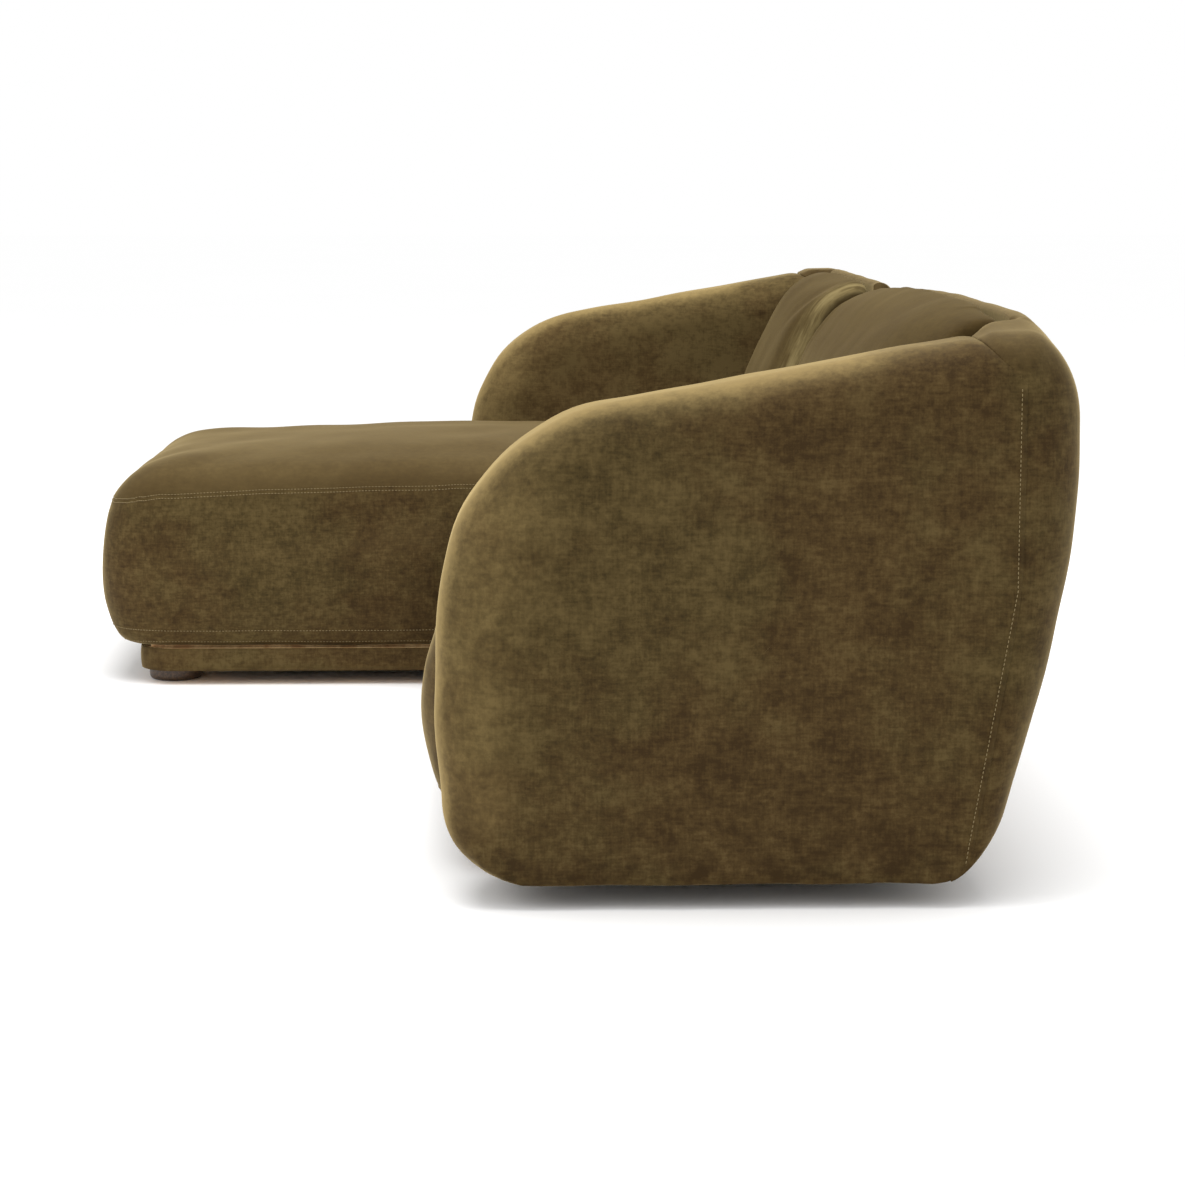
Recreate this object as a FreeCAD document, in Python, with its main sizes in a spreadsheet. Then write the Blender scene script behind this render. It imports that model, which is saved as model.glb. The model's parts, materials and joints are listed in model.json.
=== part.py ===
import FreeCAD
import Part
import Sketcher
import math
import os
import re

# Two-module sectional sofa: a loveseat with an arm on its right and a chaise with an arm on its left.
# X runs to the right as seen from the front, Y to the back, Z up. The origin is on the floor, at the
# middle of the sofa's box. All sizes are in millimetres.

Vector = FreeCAD.Vector
doc = FreeCAD.newDocument("sectional_sofa")

sizes = {
    # Overall
    "sofa_width": 2650,
    "sofa_depth": 1570,
    "loveseat_depth": 890,
    "chaise_width": 955,
    "module_gap": 6,
    "fit_gap": 0.4,
    # Feet
    "foot_diameter": 102,
    "foot_height": 28,
    "foot_edge": 9,
    "foot_front_inset": 134,
    "foot_side_inset": 108,
    "foot_rear_inset": 90,
    # Plinth under each module
    "plinth_height": 44,
    "plinth_front_inset": 73,
    "plinth_side_inset": 18,
    "plinth_board": 45,
    "plinth_corner": 70,
    "plinth_band": 3,
    "block_size": 120,
    "block_drop": 4,
    "stud_diameter": 8,
    "stud_in_foot": 16,
    "thread_gap": 0.1,
    "tee_barrel": 11,
    "tee_length": 12,
    "tee_flange": 22,
    "tee_flange_thickness": 1.5,
    "dust_cover_thickness": 1,
    # Seat frame and webbing
    "rail_height": 160,
    "rail_thickness": 28,
    "rail_inset": 22,
    "spring_rail_setback": 30,
    "webbing_width": 60,
    "webbing_thickness": 2,
    # Seat upholstery
    "cover_thickness": 6,
    "seat_height": 450,
    "seat_bulge_height": 265,
    "seat_front_tuck": 52,
    "seat_front_roll": 130,
    "seat_side_tuck": 12,
    "seat_side_roll": 95,
    "seat_side_roll_height": 83,
    "seat_arm_roll": 46,
    "seat_arm_roll_height": 40,
    "seat_corner": 95,
    # Arms
    "arm_thickness": 190,
    "arm_bottom": 30,
    "arm_hem": 14,
    "arm_front_setback": 12,
    "arm_bulge_height": 300,
    "arm_toe_setback": 15,
    "arm_toe_radius": 114,
    "arm_lean": 28,
    "arm_front_height": 640,
    "arm_front_radius": 279,
    "arm_rear_height": 776,
    "arm_rear_radius": 95,
    "arm_heel_radius": 62,
    "arm_bow_radius": 900,
    "arm_roll": 72,
    "arm_pad": 30,
    "arm_panel": 12,
    "arm_post": 40,
    "arm_bolt_diameter": 8,
    "arm_bolt_head": 16,
    "arm_bolt_head_thickness": 5,
    "arm_bolt_end": 8,
    "arm_bolt_height": 90,
    "arm_bolt_gap": 0.4,
    # Back cushions
    "back_depth": 344,
    "back_peak_depth": 225,
    "back_peak_height": 835,
    "back_peak_radius": 120,
    "back_foot_radius": 300,
    "back_seam_height": 799,
    "back_seam_radius": 18,
    "back_crown_front": 32,
    "back_crown_top": 44,
    "back_crown_length": 260,
    "back_end_roll": 58,
    "back_end_length": 120,
    # Back frame
    "post_depth": 35,
    "post_width": 45,
    "back_rail_height": 40,
    "back_frame_drop": 145,
    "frame_rear_room": 5,
    # Outside back
    "panel_depth": 92,
    "panel_height": 790,
    "panel_rear_height": 765,
    "panel_top_radius": 22,
    "panel_rear_radius": 100,
    "panel_bulge_height": 560,
    "panel_waist_height": 290,
    "panel_waist_inset": 40,
    "panel_foot_inset": 109,
    "panel_foot_depth": 44,
    "panel_foot_radius": 18,
    "panel_seam_height": 430,
    "panel_corner": 95,
    "panel_corner_drop": 30,
    "panel_split_length": 30,
    "panel_split_share": 0.8,
    # Connectors between the modules
    "bracket_plate": 3,
    "bracket_width": 60,
    "bracket_height": 30,
    "tongue_reach": 24,
    "jaw_reach": 21,
    "jaw_gap": 0.6,
    "bracket_front_setback": 200,
    "bracket_rear_setback": 150,
}

layout = {
    "split_x": "chaise_width - sofa_width / 2",
    "rear_y": "sofa_depth / 2",
    "chaise_front_y": "-sofa_depth / 2",
    "loveseat_front_y": "rear_y - loveseat_depth",
    "base_z": "foot_height + plinth_height",
    "rail_top_z": "base_z + rail_height",
    "deck_z": "rail_top_z + 2 * webbing_thickness + fit_gap",
    "back_foot_y": "rear_y - back_depth",
    "spring_rail_y": "back_foot_y + spring_rail_setback",
    "panel_foot_y": "rear_y - panel_foot_inset - panel_foot_depth",
    "frame_rear_y": "panel_foot_y - frame_rear_room",
    "post_front_y": "frame_rear_y - post_depth",
    "back_frame_z": "back_peak_height - back_frame_drop",
    "post_top_z": "back_frame_z - back_rail_height",
    "side_u": "module_gap / 2 + plinth_side_inset",
    "rail_u": "side_u + rail_inset",
    "block_top_z": "base_z - block_drop",
    "arm_front_y": "loveseat_front_y + arm_front_setback",
    "arm_post_y": "arm_front_y + arm_toe_setback + arm_toe_radius",
    "bracket_z": "foot_height + plinth_height / 2",
}

sheet = doc.addObject("Spreadsheet::Sheet", "Sizes")
for row, (alias, number) in enumerate(sizes.items(), start=1):
    sheet.set(f"A{row}", alias)
    sheet.set(f"B{row}", str(number))
    sheet.setAlias(f"B{row}", alias)


def full(expression):
    """Put the name of its sheet before each alias of an expression."""
    def owner(match):
        word = match.group(0)
        if word in sizes:
            return "Sizes." + word
        if word in layout:
            return "Layout." + word
        return word
    return re.sub(r"[a-z][a-z0-9_]*", owner, expression)


places = doc.addObject("Spreadsheet::Sheet", "Layout")
for row, (alias, formula) in enumerate(layout.items(), start=1):
    places.set(f"A{row}", alias)
    places.set(f"B{row}", "=" + full(formula))
    places.setAlias(f"B{row}", alias)
doc.recompute()


def mm(expression):
    """The value of an expression on the two sheets."""
    return float(sheet.evalExpression(full(expression)))


subparts = []


def keep(piece, label):
    piece.Label = label
    subparts.append(piece)
    return piece


def bind(piece, **expressions):
    for name, expression in expressions.items():
        piece.setExpression(name.replace("_", "."), full(expression))
    return piece


# A module is measured by u, the distance from the split plane towards its arm.

modules = {
    "loveseat": {
        "sign": 1,
        "front": "loveseat_front_y",
        "width": "(sofa_width - chaise_width)",
        "straps": 9,
        "cross_straps": 3,
        "cross_rails": 1,
        "posts": 3,
    },
    "chaise": {
        "sign": -1,
        "front": "chaise_front_y",
        "width": "chaise_width",
        "straps": 4,
        "cross_straps": 6,
        "cross_rails": 2,
        "posts": 2,
    },
}


def along(module, distance):
    """X as an expression, at a distance from the split plane."""
    mark = "+" if module["sign"] > 0 else "-"
    return f"split_x {mark} ({distance})"


def arm_face(module):
    """Distance from the split plane to the inner face of the arm."""
    return f"({module['width']} - arm_thickness)"


def plinth_end(module):
    """Distance from the split plane to the end of the plinth beside the arm."""
    return f"({arm_face(module)} - plinth_side_inset)"


def frame_end(module):
    """Distance from the split plane to the end of the seat frame beside the arm."""
    return f"({plinth_end(module)} - rail_inset)"


def board(name, module, u, y, z):
    """A box between two distances from the split plane, two depths and two heights."""
    box = doc.addObject("Part::Box", name)
    low = u[0] if module["sign"] > 0 else u[1]
    return bind(
        box,
        Length=f"({u[1]}) - ({u[0]})",
        Width=f"({y[1]}) - ({y[0]})",
        Height=f"({z[1]}) - ({z[0]})",
        Placement_Base_x=along(module, low),
        Placement_Base_y=y[0],
        Placement_Base_z=z[0],
    )


def rod(name, module, u, y, z, diameter, length):
    """An upright round bar that stands on the height z."""
    bar = doc.addObject("Part::Cylinder", name)
    return bind(
        bar,
        Radius=f"({diameter}) / 2",
        Height=length,
        Placement_Base_x=along(module, u),
        Placement_Base_y=y,
        Placement_Base_z=z,
    )


def group(label, pieces):
    """Separate solids that share one node."""
    compound = doc.addObject("Part::Compound", label)
    compound.Links = pieces
    return keep(compound, label)


def cut(name, base, tool):
    piece = doc.addObject("Part::Cut", name)
    piece.Base = base
    piece.Tool = tool
    return piece


def fuse(name, base, tool):
    piece = doc.addObject("Part::Fuse", name)
    piece.Base = base
    piece.Tool = tool
    return piece


def formed(label, shape):
    piece = doc.addObject("Part::Feature", label)
    piece.Shape = shape
    piece.Placement = FreeCAD.Placement()
    return keep(piece, label)


# Sketches and bodies

def plane_of(body, role):
    return next(item for item in body.Origin.OriginFeatures if item.Role == role)


def sketch_on(body, role, name):
    sketch = body.newObject("Sketcher::SketchObject", name)
    sketch.AttachmentSupport = [(plane_of(body, role), "")]
    sketch.MapMode = "FlatFace"
    return sketch


def polygon(sketch, points):
    """A closed chain of lines, each corner held at two expressions from the sketch's origin."""
    spots = [Vector(mm(across), mm(up), 0) for across, up in points]
    first = sketch.GeometryCount
    count = len(spots)
    for index in range(count):
        sketch.addGeometry(Part.LineSegment(spots[index], spots[(index + 1) % count]), False)
    for index in range(count):
        after = first + (index + 1) % count
        sketch.addConstraint(Sketcher.Constraint("Coincident", first + index, 2, after, 1))
    for index, pair in enumerate(points):
        for kind, axis, expression in zip(("DistanceX", "DistanceY"), (-2, -1), pair):
            if expression == "0":
                sketch.addConstraint(Sketcher.Constraint("PointOnObject", first + index, 1, axis))
            else:
                rule = Sketcher.Constraint(kind, -1, 1, first + index, 1, mm(expression))
                number = sketch.addConstraint(rule)
                sketch.setExpression(f"Constraints[{number}]", full(expression))


def pad(body, sketch, length, midplane=False):
    feature = body.newObject("PartDesign::Pad", body.Name + "_pad")
    feature.Profile = sketch
    feature.Midplane = midplane
    return bind(feature, Length=length)


def round_edges(body, base, radius, wanted):
    """Fillet the edges of a feature that a test picks."""
    doc.recompute()
    names = [f"Edge{i}" for i, edge in enumerate(base.Shape.Edges, start=1) if wanted(edge)]
    feature = body.newObject("PartDesign::Fillet", body.Name + "_fillet")
    feature.Base = (base, names)
    return bind(feature, Radius=radius)


def rectangle(u, y):
    return [(u[0], y[0]), (u[1], y[0]), (u[1], y[1]), (u[0], y[1])]


def is_upright(edge):
    box = edge.BoundBox
    return box.XLength < 1e-6 and box.YLength < 1e-6


# Soft outlines: polygons whose edges are drawn in by their own amounts and whose corners are arcs

least_radius = 1.0
fillet_room = 0.98


def line_crossing(point, way, other, other_way):
    scale = way[0] * other_way[1] - way[1] * other_way[0]
    gap = (other[0] - point[0], other[1] - point[1])
    share = (gap[0] * other_way[1] - gap[1] * other_way[0]) / scale
    return (point[0] + way[0] * share, point[1] + way[1] * share)


def outline(corners, insets, place):
    """A wire of lines and arcs from (across, up, radius) corners, edge i drawn in by insets[i]."""
    count = len(corners)
    area = sum(corners[i - 1][0] * corners[i][1] - corners[i][0] * corners[i - 1][1] for i in range(count))
    turn = 1 if area > 0 else -1
    lines = []
    for i in range(count):
        here = corners[i]
        there = corners[(i + 1) % count]
        way = (there[0] - here[0], there[1] - here[1])
        length = math.hypot(*way)
        way = (way[0] / length, way[1] / length)
        inward = (-way[1] * turn, way[0] * turn)
        lines.append(((here[0] + inward[0] * insets[i], here[1] + inward[1] * insets[i]), way))
    points = [line_crossing(*lines[i - 1], *lines[i]) for i in range(count)]
    ways = []
    lengths = []
    for i in range(count):
        point = points[i]
        after = points[(i + 1) % count]
        length = math.dist(point, after)
        ways.append(((after[0] - point[0]) / length, (after[1] - point[1]) / length))
        lengths.append(length)
    halves = []
    reaches = []
    for i in range(count):
        half = math.acos(-ways[i - 1][0] * ways[i][0] - ways[i - 1][1] * ways[i][1]) / 2
        radius = max(corners[i][2] - max(insets[i - 1], insets[i], 0), least_radius)
        halves.append(half)
        reaches.append(radius / math.tan(half))
    shares = [
        min(1, fillet_room * lengths[i] / (reaches[i] + reaches[(i + 1) % count])) for i in range(count)
    ]
    edges = []
    starts = []
    ends = []
    middles = []
    for i in range(count):
        point = points[i]
        reach = reaches[i] * min(shares[i - 1], shares[i])
        radius = reach * math.tan(halves[i])
        middle = (ways[i][0] - ways[i - 1][0], ways[i][1] - ways[i - 1][1])
        scale = (radius / math.sin(halves[i]) - radius) / math.hypot(*middle)
        starts.append(place(point[0] - ways[i - 1][0] * reach, point[1] - ways[i - 1][1] * reach))
        ends.append(place(point[0] + ways[i][0] * reach, point[1] + ways[i][1] * reach))
        middles.append(place(point[0] + middle[0] * scale, point[1] + middle[1] * scale))
    for i in range(count):
        edges.append(Part.Arc(starts[i], middles[i], ends[i]).toShape())
        edges.append(Part.LineSegment(ends[i], starts[(i + 1) % count]).toShape())
    return Part.Wire(edges)


def upright_at(x):
    return lambda depth, height: Vector(x, depth, height)


def level_at(z):
    return lambda across, depth: Vector(across, depth, z)


def loft(wires):
    return Part.makeLoft(wires, True, True)


def rolled(first, last):
    """Two rolled ends, each a loft through outlines, joined by a straight run along X."""
    run = last[0].BoundBox.XMin - first[-1].BoundBox.XMin
    middle = Part.Face(first[-1]).extrude(Vector(run, 0, 0))
    return loft(first).fuse([middle, loft(last)])


# A rolled edge leaves the face square and turns through these angles
roll_angles = [math.radians(angle) for angle in (0, 20, 42, 66, 90)]

# The outside back turns through these angles round the rear corner
corner_angles = [math.radians(angle) for angle in (0, 25, 50, 70)]

# How far a hollowing form reaches past the open sides of a cover
open_side = 20.0


def seam_y(height):
    """Depth of the seam between the arm or back cushion and the outside back, at a height."""
    foot = mm("panel_foot_y")
    top = mm("rear_y - panel_depth")
    share = (height - mm("base_z")) / mm("panel_seam_height - base_z")
    return foot + (top - foot) * min(share, 1)


def arm_corners():
    gap = mm("fit_gap")
    front = mm("arm_front_y")
    bow = mm("arm_bow_radius")
    bottom = mm("arm_bottom")
    return [
        (front + mm("arm_toe_setback"), bottom, mm("arm_toe_radius")),
        (seam_y(bottom) - gap, bottom, mm("arm_heel_radius")),
        (seam_y(mm("panel_seam_height")) - gap, mm("panel_seam_height"), bow),
        (seam_y(mm("arm_rear_height")) - gap, mm("arm_rear_height"), mm("arm_rear_radius")),
        (front + mm("arm_lean"), mm("arm_front_height"), mm("arm_front_radius")),
        (front, mm("arm_bulge_height"), bow),
    ]


def arm_form(module, skin, bottom=None, rear=0.0):
    """The padded arm panel, drawn in by a skin, with rolled edges round its front and top."""
    inner = mm(along(module, arm_face(module)))
    outer = mm(along(module, module["width"]))
    roll = min(mm("arm_roll"), 0.45 * mm("arm_thickness")) - skin
    hem = mm("arm_hem")

    def edge_sections(face, way, angles):
        sections = []
        for angle in angles:
            x = face + module["sign"] * way * (skin + roll * (1 - math.cos(angle)))
            inset = skin + roll * (1 - math.sin(angle))
            lower = hem * (1 - math.sin(angle)) if bottom is None else bottom
            insets = [lower, rear, rear, inset, inset, inset]
            sections.append(outline(arm_corners(), insets, upright_at(x)))
        return sections

    return rolled(edge_sections(inner, 1, roll_angles), edge_sections(outer, -1, roll_angles[::-1]))


def arm_block(module, inset, near, far):
    """A flat block with the arm's outline, between two distances from the arm's inner face."""
    start = mm(along(module, f"{arm_face(module)} + {near}"))
    end = mm(along(module, f"{arm_face(module)} + {far}"))
    rest = mm("cover_thickness + fit_gap")
    insets = [rest, inset, inset, inset, inset, inset]
    face = Part.Face(outline(arm_corners(), insets, upright_at(start)))
    return face.extrude(Vector(end - start, 0, 0))


def seat_form(module, skin, open_sides=False):
    """The seat: sides drawn in at the hem, a bulged front, and a crowned top with rolled edges."""
    start = mm(along(module, "module_gap / 2"))
    end = mm(along(module, f"{arm_face(module)} - fit_gap"))
    front = mm(module["front"])
    rear = mm("back_foot_y - fit_gap")
    bottom = mm("base_z")
    bulge = mm("seat_bulge_height")
    top = mm("seat_height")
    corner = mm("seat_corner")
    rear_skin = -open_side if open_sides else 0.0

    def side_inset(height, roll, depth):
        share = max(height - (top - depth), 0) / depth
        return roll * (1 - math.sqrt(max(1 - share * share, 0)))

    levels = []
    for angle in roll_angles:
        height = bulge - (bulge - bottom) * math.cos(angle)
        drawn = 1 - math.sin(angle)
        levels.append((height, mm("seat_front_tuck") * drawn, mm("seat_side_tuck") * drawn))
    for angle in (55, 35, 17, 0):
        height = bulge + (top - bulge) * math.cos(math.radians(angle))
        levels.append((height, mm("seat_front_roll") * (1 - math.sin(math.radians(angle))), 0.0))
    if open_sides:
        levels.insert(0, (bottom - open_side,) + levels[0][1:])
    sections = []
    for height, front_inset, tuck in levels:
        split_inset = tuck + side_inset(height, mm("seat_side_roll"), mm("seat_side_roll_height"))
        arm_inset = tuck + side_inset(height, mm("seat_arm_roll"), mm("seat_arm_roll_height"))
        radius = corner + front_inset / 2
        corners = [
            (start, front, radius),
            (end, front, radius),
            (end, rear, least_radius),
            (start, rear, least_radius),
        ]
        insets = [front_inset + skin, arm_inset + skin, rear_skin, split_inset + skin]
        level = height - skin if height > bulge else height
        sections.append(outline(corners, insets, level_at(level)))
    return loft(sections)


def back_form(module, skin, open_sides=False):
    """The back cushion: a leaning pillow that rolls over its top and is drawn in at both ends."""
    gap = mm("fit_gap")
    deck = mm("deck_z")
    foot = mm("back_foot_y")
    seam = mm("panel_seam_height")
    seam_top = mm("back_seam_height")
    corners = [
        (foot, deck, least_radius),
        (seam_y(deck) - gap, deck, least_radius),
        (seam_y(seam) - gap, seam, mm("arm_bow_radius")),
        (seam_y(seam_top) - gap, seam_top, mm("back_seam_radius")),
        (mm("rear_y - back_peak_depth"), mm("back_peak_height"), mm("back_peak_radius")),
        (foot, mm("seat_height"), mm("back_foot_radius")),
    ]
    start = mm("module_gap / 2")
    end = mm(f"{arm_face(module)} - fit_gap")
    rest = -open_side if open_sides else 0.0

    def section(u, front_inset, top_inset):
        front = front_inset + skin
        insets = [rest, rest, rest, top_inset + skin, front, front]
        return outline(corners, insets, upright_at(mm(along(module, str(u)))))

    split_end = []
    arm_end = []
    for angle in roll_angles:
        share = 1 - math.sin(angle)
        turned = 1 - math.cos(angle)
        drawn = mm("back_end_roll") * share
        split_end.append(section(start + skin + mm("back_end_length") * turned, drawn, drawn))
        u = end - skin - mm("back_crown_length") * turned
        arm_end.append(section(u, mm("back_crown_front") * share, mm("back_crown_top") * share))
    return rolled(split_end, arm_end[::-1])


def panel_form(module):
    """The outside back: a bowed panel behind the seam, which rounds the rear corner behind the arm."""
    foot = mm("base_z")
    waist = mm("panel_waist_height")
    bulge = mm("panel_bulge_height")
    seam = mm("panel_seam_height")
    rear = mm("rear_y")
    bow = mm("arm_bow_radius")
    width = mm(module["width"])
    corner = mm("panel_corner")

    def section(u, share, drop):
        def behind(height, depth):
            return seam_y(height) + (depth - seam_y(height)) * share
        rear_height = mm("panel_rear_height") - drop
        top = mm("panel_height") - drop
        corners = [
            (seam_y(foot), foot, least_radius),
            (behind(foot, rear - mm("panel_foot_inset")), foot, mm("panel_foot_radius") * share),
            (behind(waist, rear - mm("panel_waist_inset")), waist, bow),
            (behind(bulge, rear), bulge, bow),
            (behind(rear_height, rear), rear_height, mm("panel_rear_radius") * share),
            (seam_y(top), top, mm("panel_top_radius") * share),
            (seam_y(seam), seam, bow),
        ]
        return outline(corners, [0.0] * len(corners), upright_at(mm(along(module, str(u)))))

    split_end = []
    for angle in roll_angles:
        u = mm("module_gap / 2") + mm("panel_split_length") * (1 - math.cos(angle))
        share = mm("panel_split_share") + (1 - mm("panel_split_share")) * math.sin(angle)
        split_end.append(section(u, share, 0.0))
    corner_end = []
    for angle in corner_angles:
        u = width - corner + corner * math.sin(angle) / math.sin(corner_angles[-1])
        drop = mm("panel_corner_drop") * (1 - math.cos(angle))
        corner_end.append(section(u, math.cos(angle), drop))
    return rolled(split_end, corner_end)


def arm_bolts(module, extra):
    """Bars along X where the arm is bolted to the side rail, wider than the bolts by an extra."""
    radius = mm("arm_bolt_diameter") / 2 + extra
    height = mm("base_z + arm_bolt_height")
    start = mm(along(module, f"{frame_end(module)} - rail_thickness"))
    length = mm("rail_thickness + rail_inset + plinth_side_inset")
    length += mm("cover_thickness + fit_gap + arm_pad + arm_panel")
    length += mm("arm_bolt_end")
    way = Vector(module["sign"], 0, 0)
    bars = []
    for depth in bolt_depths():
        bars.append(Part.makeCylinder(radius, length, Vector(start, depth, height), way))
    return bars


def bolt_depths():
    """Depths of the three bolts of an arm, spread between its front post and the back posts."""
    first = mm("arm_post_y + 2 * arm_post")
    last = mm("spring_rail_y - arm_post")
    return [first, (first + last) / 2, last]


# Seat

def make_seat(name, module):
    frame_u = ("rail_u", frame_end(module))
    front = f"({module['front']} + plinth_front_inset + rail_inset)"
    front_inside = f"({front} + rail_thickness)"
    rear_inside = "(frame_rear_y - rail_thickness)"
    heights = ("base_z", "rail_top_z")

    keep(board(name + "_front_rail", module, frame_u, (front, front_inside), heights), name + "_front_rail")
    rear_rail = board(name + "_rear_rail", module, frame_u, (rear_inside, "frame_rear_y"), heights)
    keep(rear_rail, name + "_rear_rail")

    depths = (front_inside, rear_inside)
    inner_side = ("rail_u", "rail_u + rail_thickness")
    arm_side = (f"{frame_end(module)} - rail_thickness", frame_end(module))
    split_rail = board(name + "_split_side_rail", module, inner_side, depths, heights)
    arm_rail = board(name + "_arm_side_rail", module, arm_side, depths, heights)
    doc.recompute()
    drilled = arm_rail.Shape
    for hole in arm_bolts(module, mm("arm_bolt_gap")):
        drilled = drilled.cut(hole)
    drilled_rail = doc.addObject("Part::Feature", name + "_drilled_side_rail")
    drilled_rail.Shape = drilled
    group(name + "_side_rails", [split_rail, drilled_rail])

    between = ("rail_u + rail_thickness", arm_side[0])
    rails = []
    steps = module["cross_rails"]
    for index in range(steps):
        share = (index + 1) / steps
        y = f"{front} + (spring_rail_y - {front}) * {share}"
        rails.append(board(f"{name}_cross_rail_{index}", module, between, (y, f"{y} + rail_thickness"), heights))
    group(name + "_cross_rails", rails)

    straps = []
    pitch = f"(({frame_end(module)} - rail_u) / {module['straps']})"
    for index in range(module["straps"]):
        middle = f"rail_u + {pitch} * {index + 0.5}"
        u = (f"{middle} - webbing_width / 2", f"{middle} + webbing_width / 2")
        y = (front, "spring_rail_y + rail_thickness")
        z = ("rail_top_z", "rail_top_z + webbing_thickness")
        straps.append(board(f"{name}_strap_{index}", module, u, y, z))
    pitch = f"((spring_rail_y - {front_inside}) / {module['cross_straps']})"
    for index in range(module["cross_straps"]):
        middle = f"{front_inside} + {pitch} * {index + 0.5}"
        y = (f"{middle} - webbing_width / 2", f"{middle} + webbing_width / 2")
        z = ("rail_top_z + webbing_thickness", "rail_top_z + 2 * webbing_thickness")
        straps.append(board(f"{name}_cross_strap_{index}", module, frame_u, y, z))
    group(name + "_seat_webbing", straps)

    holes = arm_bolts(module, mm("arm_bolt_gap"))
    skin = mm("cover_thickness")
    cover = seat_form(module, 0.0).cut(seat_form(module, skin, True))
    formed(name + "_seat_cover", cover.cut(Part.makeCompound(holes)))
    start = mm(along(module, "rail_u"))
    end = mm(along(module, frame_end(module)))
    room = Part.makeBox(
        abs(end - start),
        mm(f"back_foot_y - {front} + {open_side}"),
        mm(f"deck_z - base_z + {open_side}"),
        Vector(min(start, end), mm(front), mm(f"base_z - {open_side}")),
    )
    foam = seat_form(module, skin + mm("fit_gap")).cut(room)
    formed(name + "_seat_foam", foam.cut(Part.makeCompound(holes)))


# Arm

def make_arm(name, module):
    skin = mm("cover_thickness")
    pad_start = mm("cover_thickness + fit_gap + arm_pad")
    pad_end = mm("arm_thickness") - pad_start
    panel = mm("arm_panel")
    holes = Part.makeCompound(arm_bolts(module, mm("arm_bolt_gap")))

    cover = arm_form(module, 0.0).cut(arm_form(module, skin, -open_side, -open_side))
    formed(name + "_arm_cover", cover.cut(holes))
    padding = arm_form(module, skin + mm("fit_gap"), skin + mm("fit_gap"))
    hollow = arm_block(module, pad_start, pad_start, pad_end)
    formed(name + "_arm_foam", padding.cut(hollow).cut(holes))
    inner = arm_block(module, pad_start, pad_start, pad_start + panel)
    formed(name + "_arm_inner_panel", inner.cut(holes))
    outer = arm_block(module, pad_start, pad_end - panel, pad_end)
    formed(name + "_arm_outer_panel", outer)

    near = f"({arm_face(module)} + cover_thickness + fit_gap + arm_pad + arm_panel)"
    far = f"({module['width']} - cover_thickness - fit_gap - arm_pad - arm_panel)"
    low = "arm_bottom + cover_thickness + fit_gap"
    front = "arm_post_y"
    rear = "(panel_foot_y - cover_thickness - fit_gap - arm_pad - arm_heel_radius / 2)"
    post_low = f"{low} + arm_post"
    spacers = [
        board(name + "_arm_sill", module, (near, far), (front, rear), (low, post_low)),
        board(
            name + "_arm_front_post", module, (near, far), (front, f"{front} + arm_post"),
            (post_low, "arm_front_height - arm_front_radius / 3 - arm_pad"),
        ),
        board(
            name + "_arm_rear_post", module, (near, far), (f"{rear} - arm_post", rear),
            (post_low, "arm_front_height"),
        ),
    ]
    group(name + "_arm_spacers", spacers)

    height = mm("base_z + arm_bolt_height")
    inside = mm(along(module, f"{frame_end(module)} - rail_thickness"))
    way = Vector(-module["sign"], 0, 0)
    bolts = []
    for depth, shank in zip(bolt_depths(), arm_bolts(module, 0.0)):
        seat = Vector(inside, depth, height)
        head = Part.makeCylinder(mm("arm_bolt_head") / 2, mm("arm_bolt_head_thickness"), seat, way)
        bolts.append(shank.fuse(head).removeSplitter())
    formed(name + "_arm_bolts", Part.makeCompound(bolts))


# Back

def make_back(name, module):
    skin = mm("cover_thickness")
    cover = back_form(module, 0.0).cut(back_form(module, skin, True))
    formed(name + "_back_cover", cover)
    start = mm(along(module, "rail_u"))
    end = mm(along(module, frame_end(module)))
    webbing_y = mm("post_front_y - webbing_thickness")
    room = Part.makeBox(
        abs(end - start),
        mm("back_depth"),
        mm(f"back_frame_z - deck_z + {open_side}"),
        Vector(min(start, end), webbing_y, mm(f"deck_z - {open_side}")),
    )
    formed(name + "_back_foam", back_form(module, skin + mm("fit_gap")).cut(room))
    formed(name + "_outside_back", panel_form(module))

    depths = ("post_front_y", "frame_rear_y")
    count = module["posts"]
    step = f"(({frame_end(module)} - rail_u - post_width) / {count - 1})"
    posts = []
    rails = []
    for index in range(count):
        u = f"rail_u + {step} * {index}"
        post = board(
            f"{name}_back_post_{index}", module, (u, f"{u} + post_width"), depths, ("rail_top_z", "post_top_z"))
        posts.append(post)
        if index:
            span = (f"{u} - {step} + post_width", u)
            z = ("deck_z", "deck_z + back_rail_height")
            rails.append(board(f"{name}_lumbar_rail_{index}", module, span, depths, z))
    top = ("rail_u", frame_end(module))
    rails.append(board(name + "_back_top_rail", module, top, depths, ("post_top_z", "back_frame_z")))
    group(name + "_back_posts", posts)
    group(name + "_back_rails", rails)

    straps = []
    strap_count = 4
    low = "(deck_z + back_rail_height)"
    pitch = f"((post_top_z - {low}) / {strap_count})"
    for index in range(strap_count):
        middle = f"{low} + {pitch} * {index + 0.5}"
        z = (f"{middle} - webbing_width / 2", f"{middle} + webbing_width / 2")
        y = ("post_front_y - webbing_thickness", "post_front_y")
        straps.append(board(f"{name}_back_strap_{index}", module, top, y, z))
    group(name + "_back_webbing", straps)


# Plinth, feet and dust cover

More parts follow.
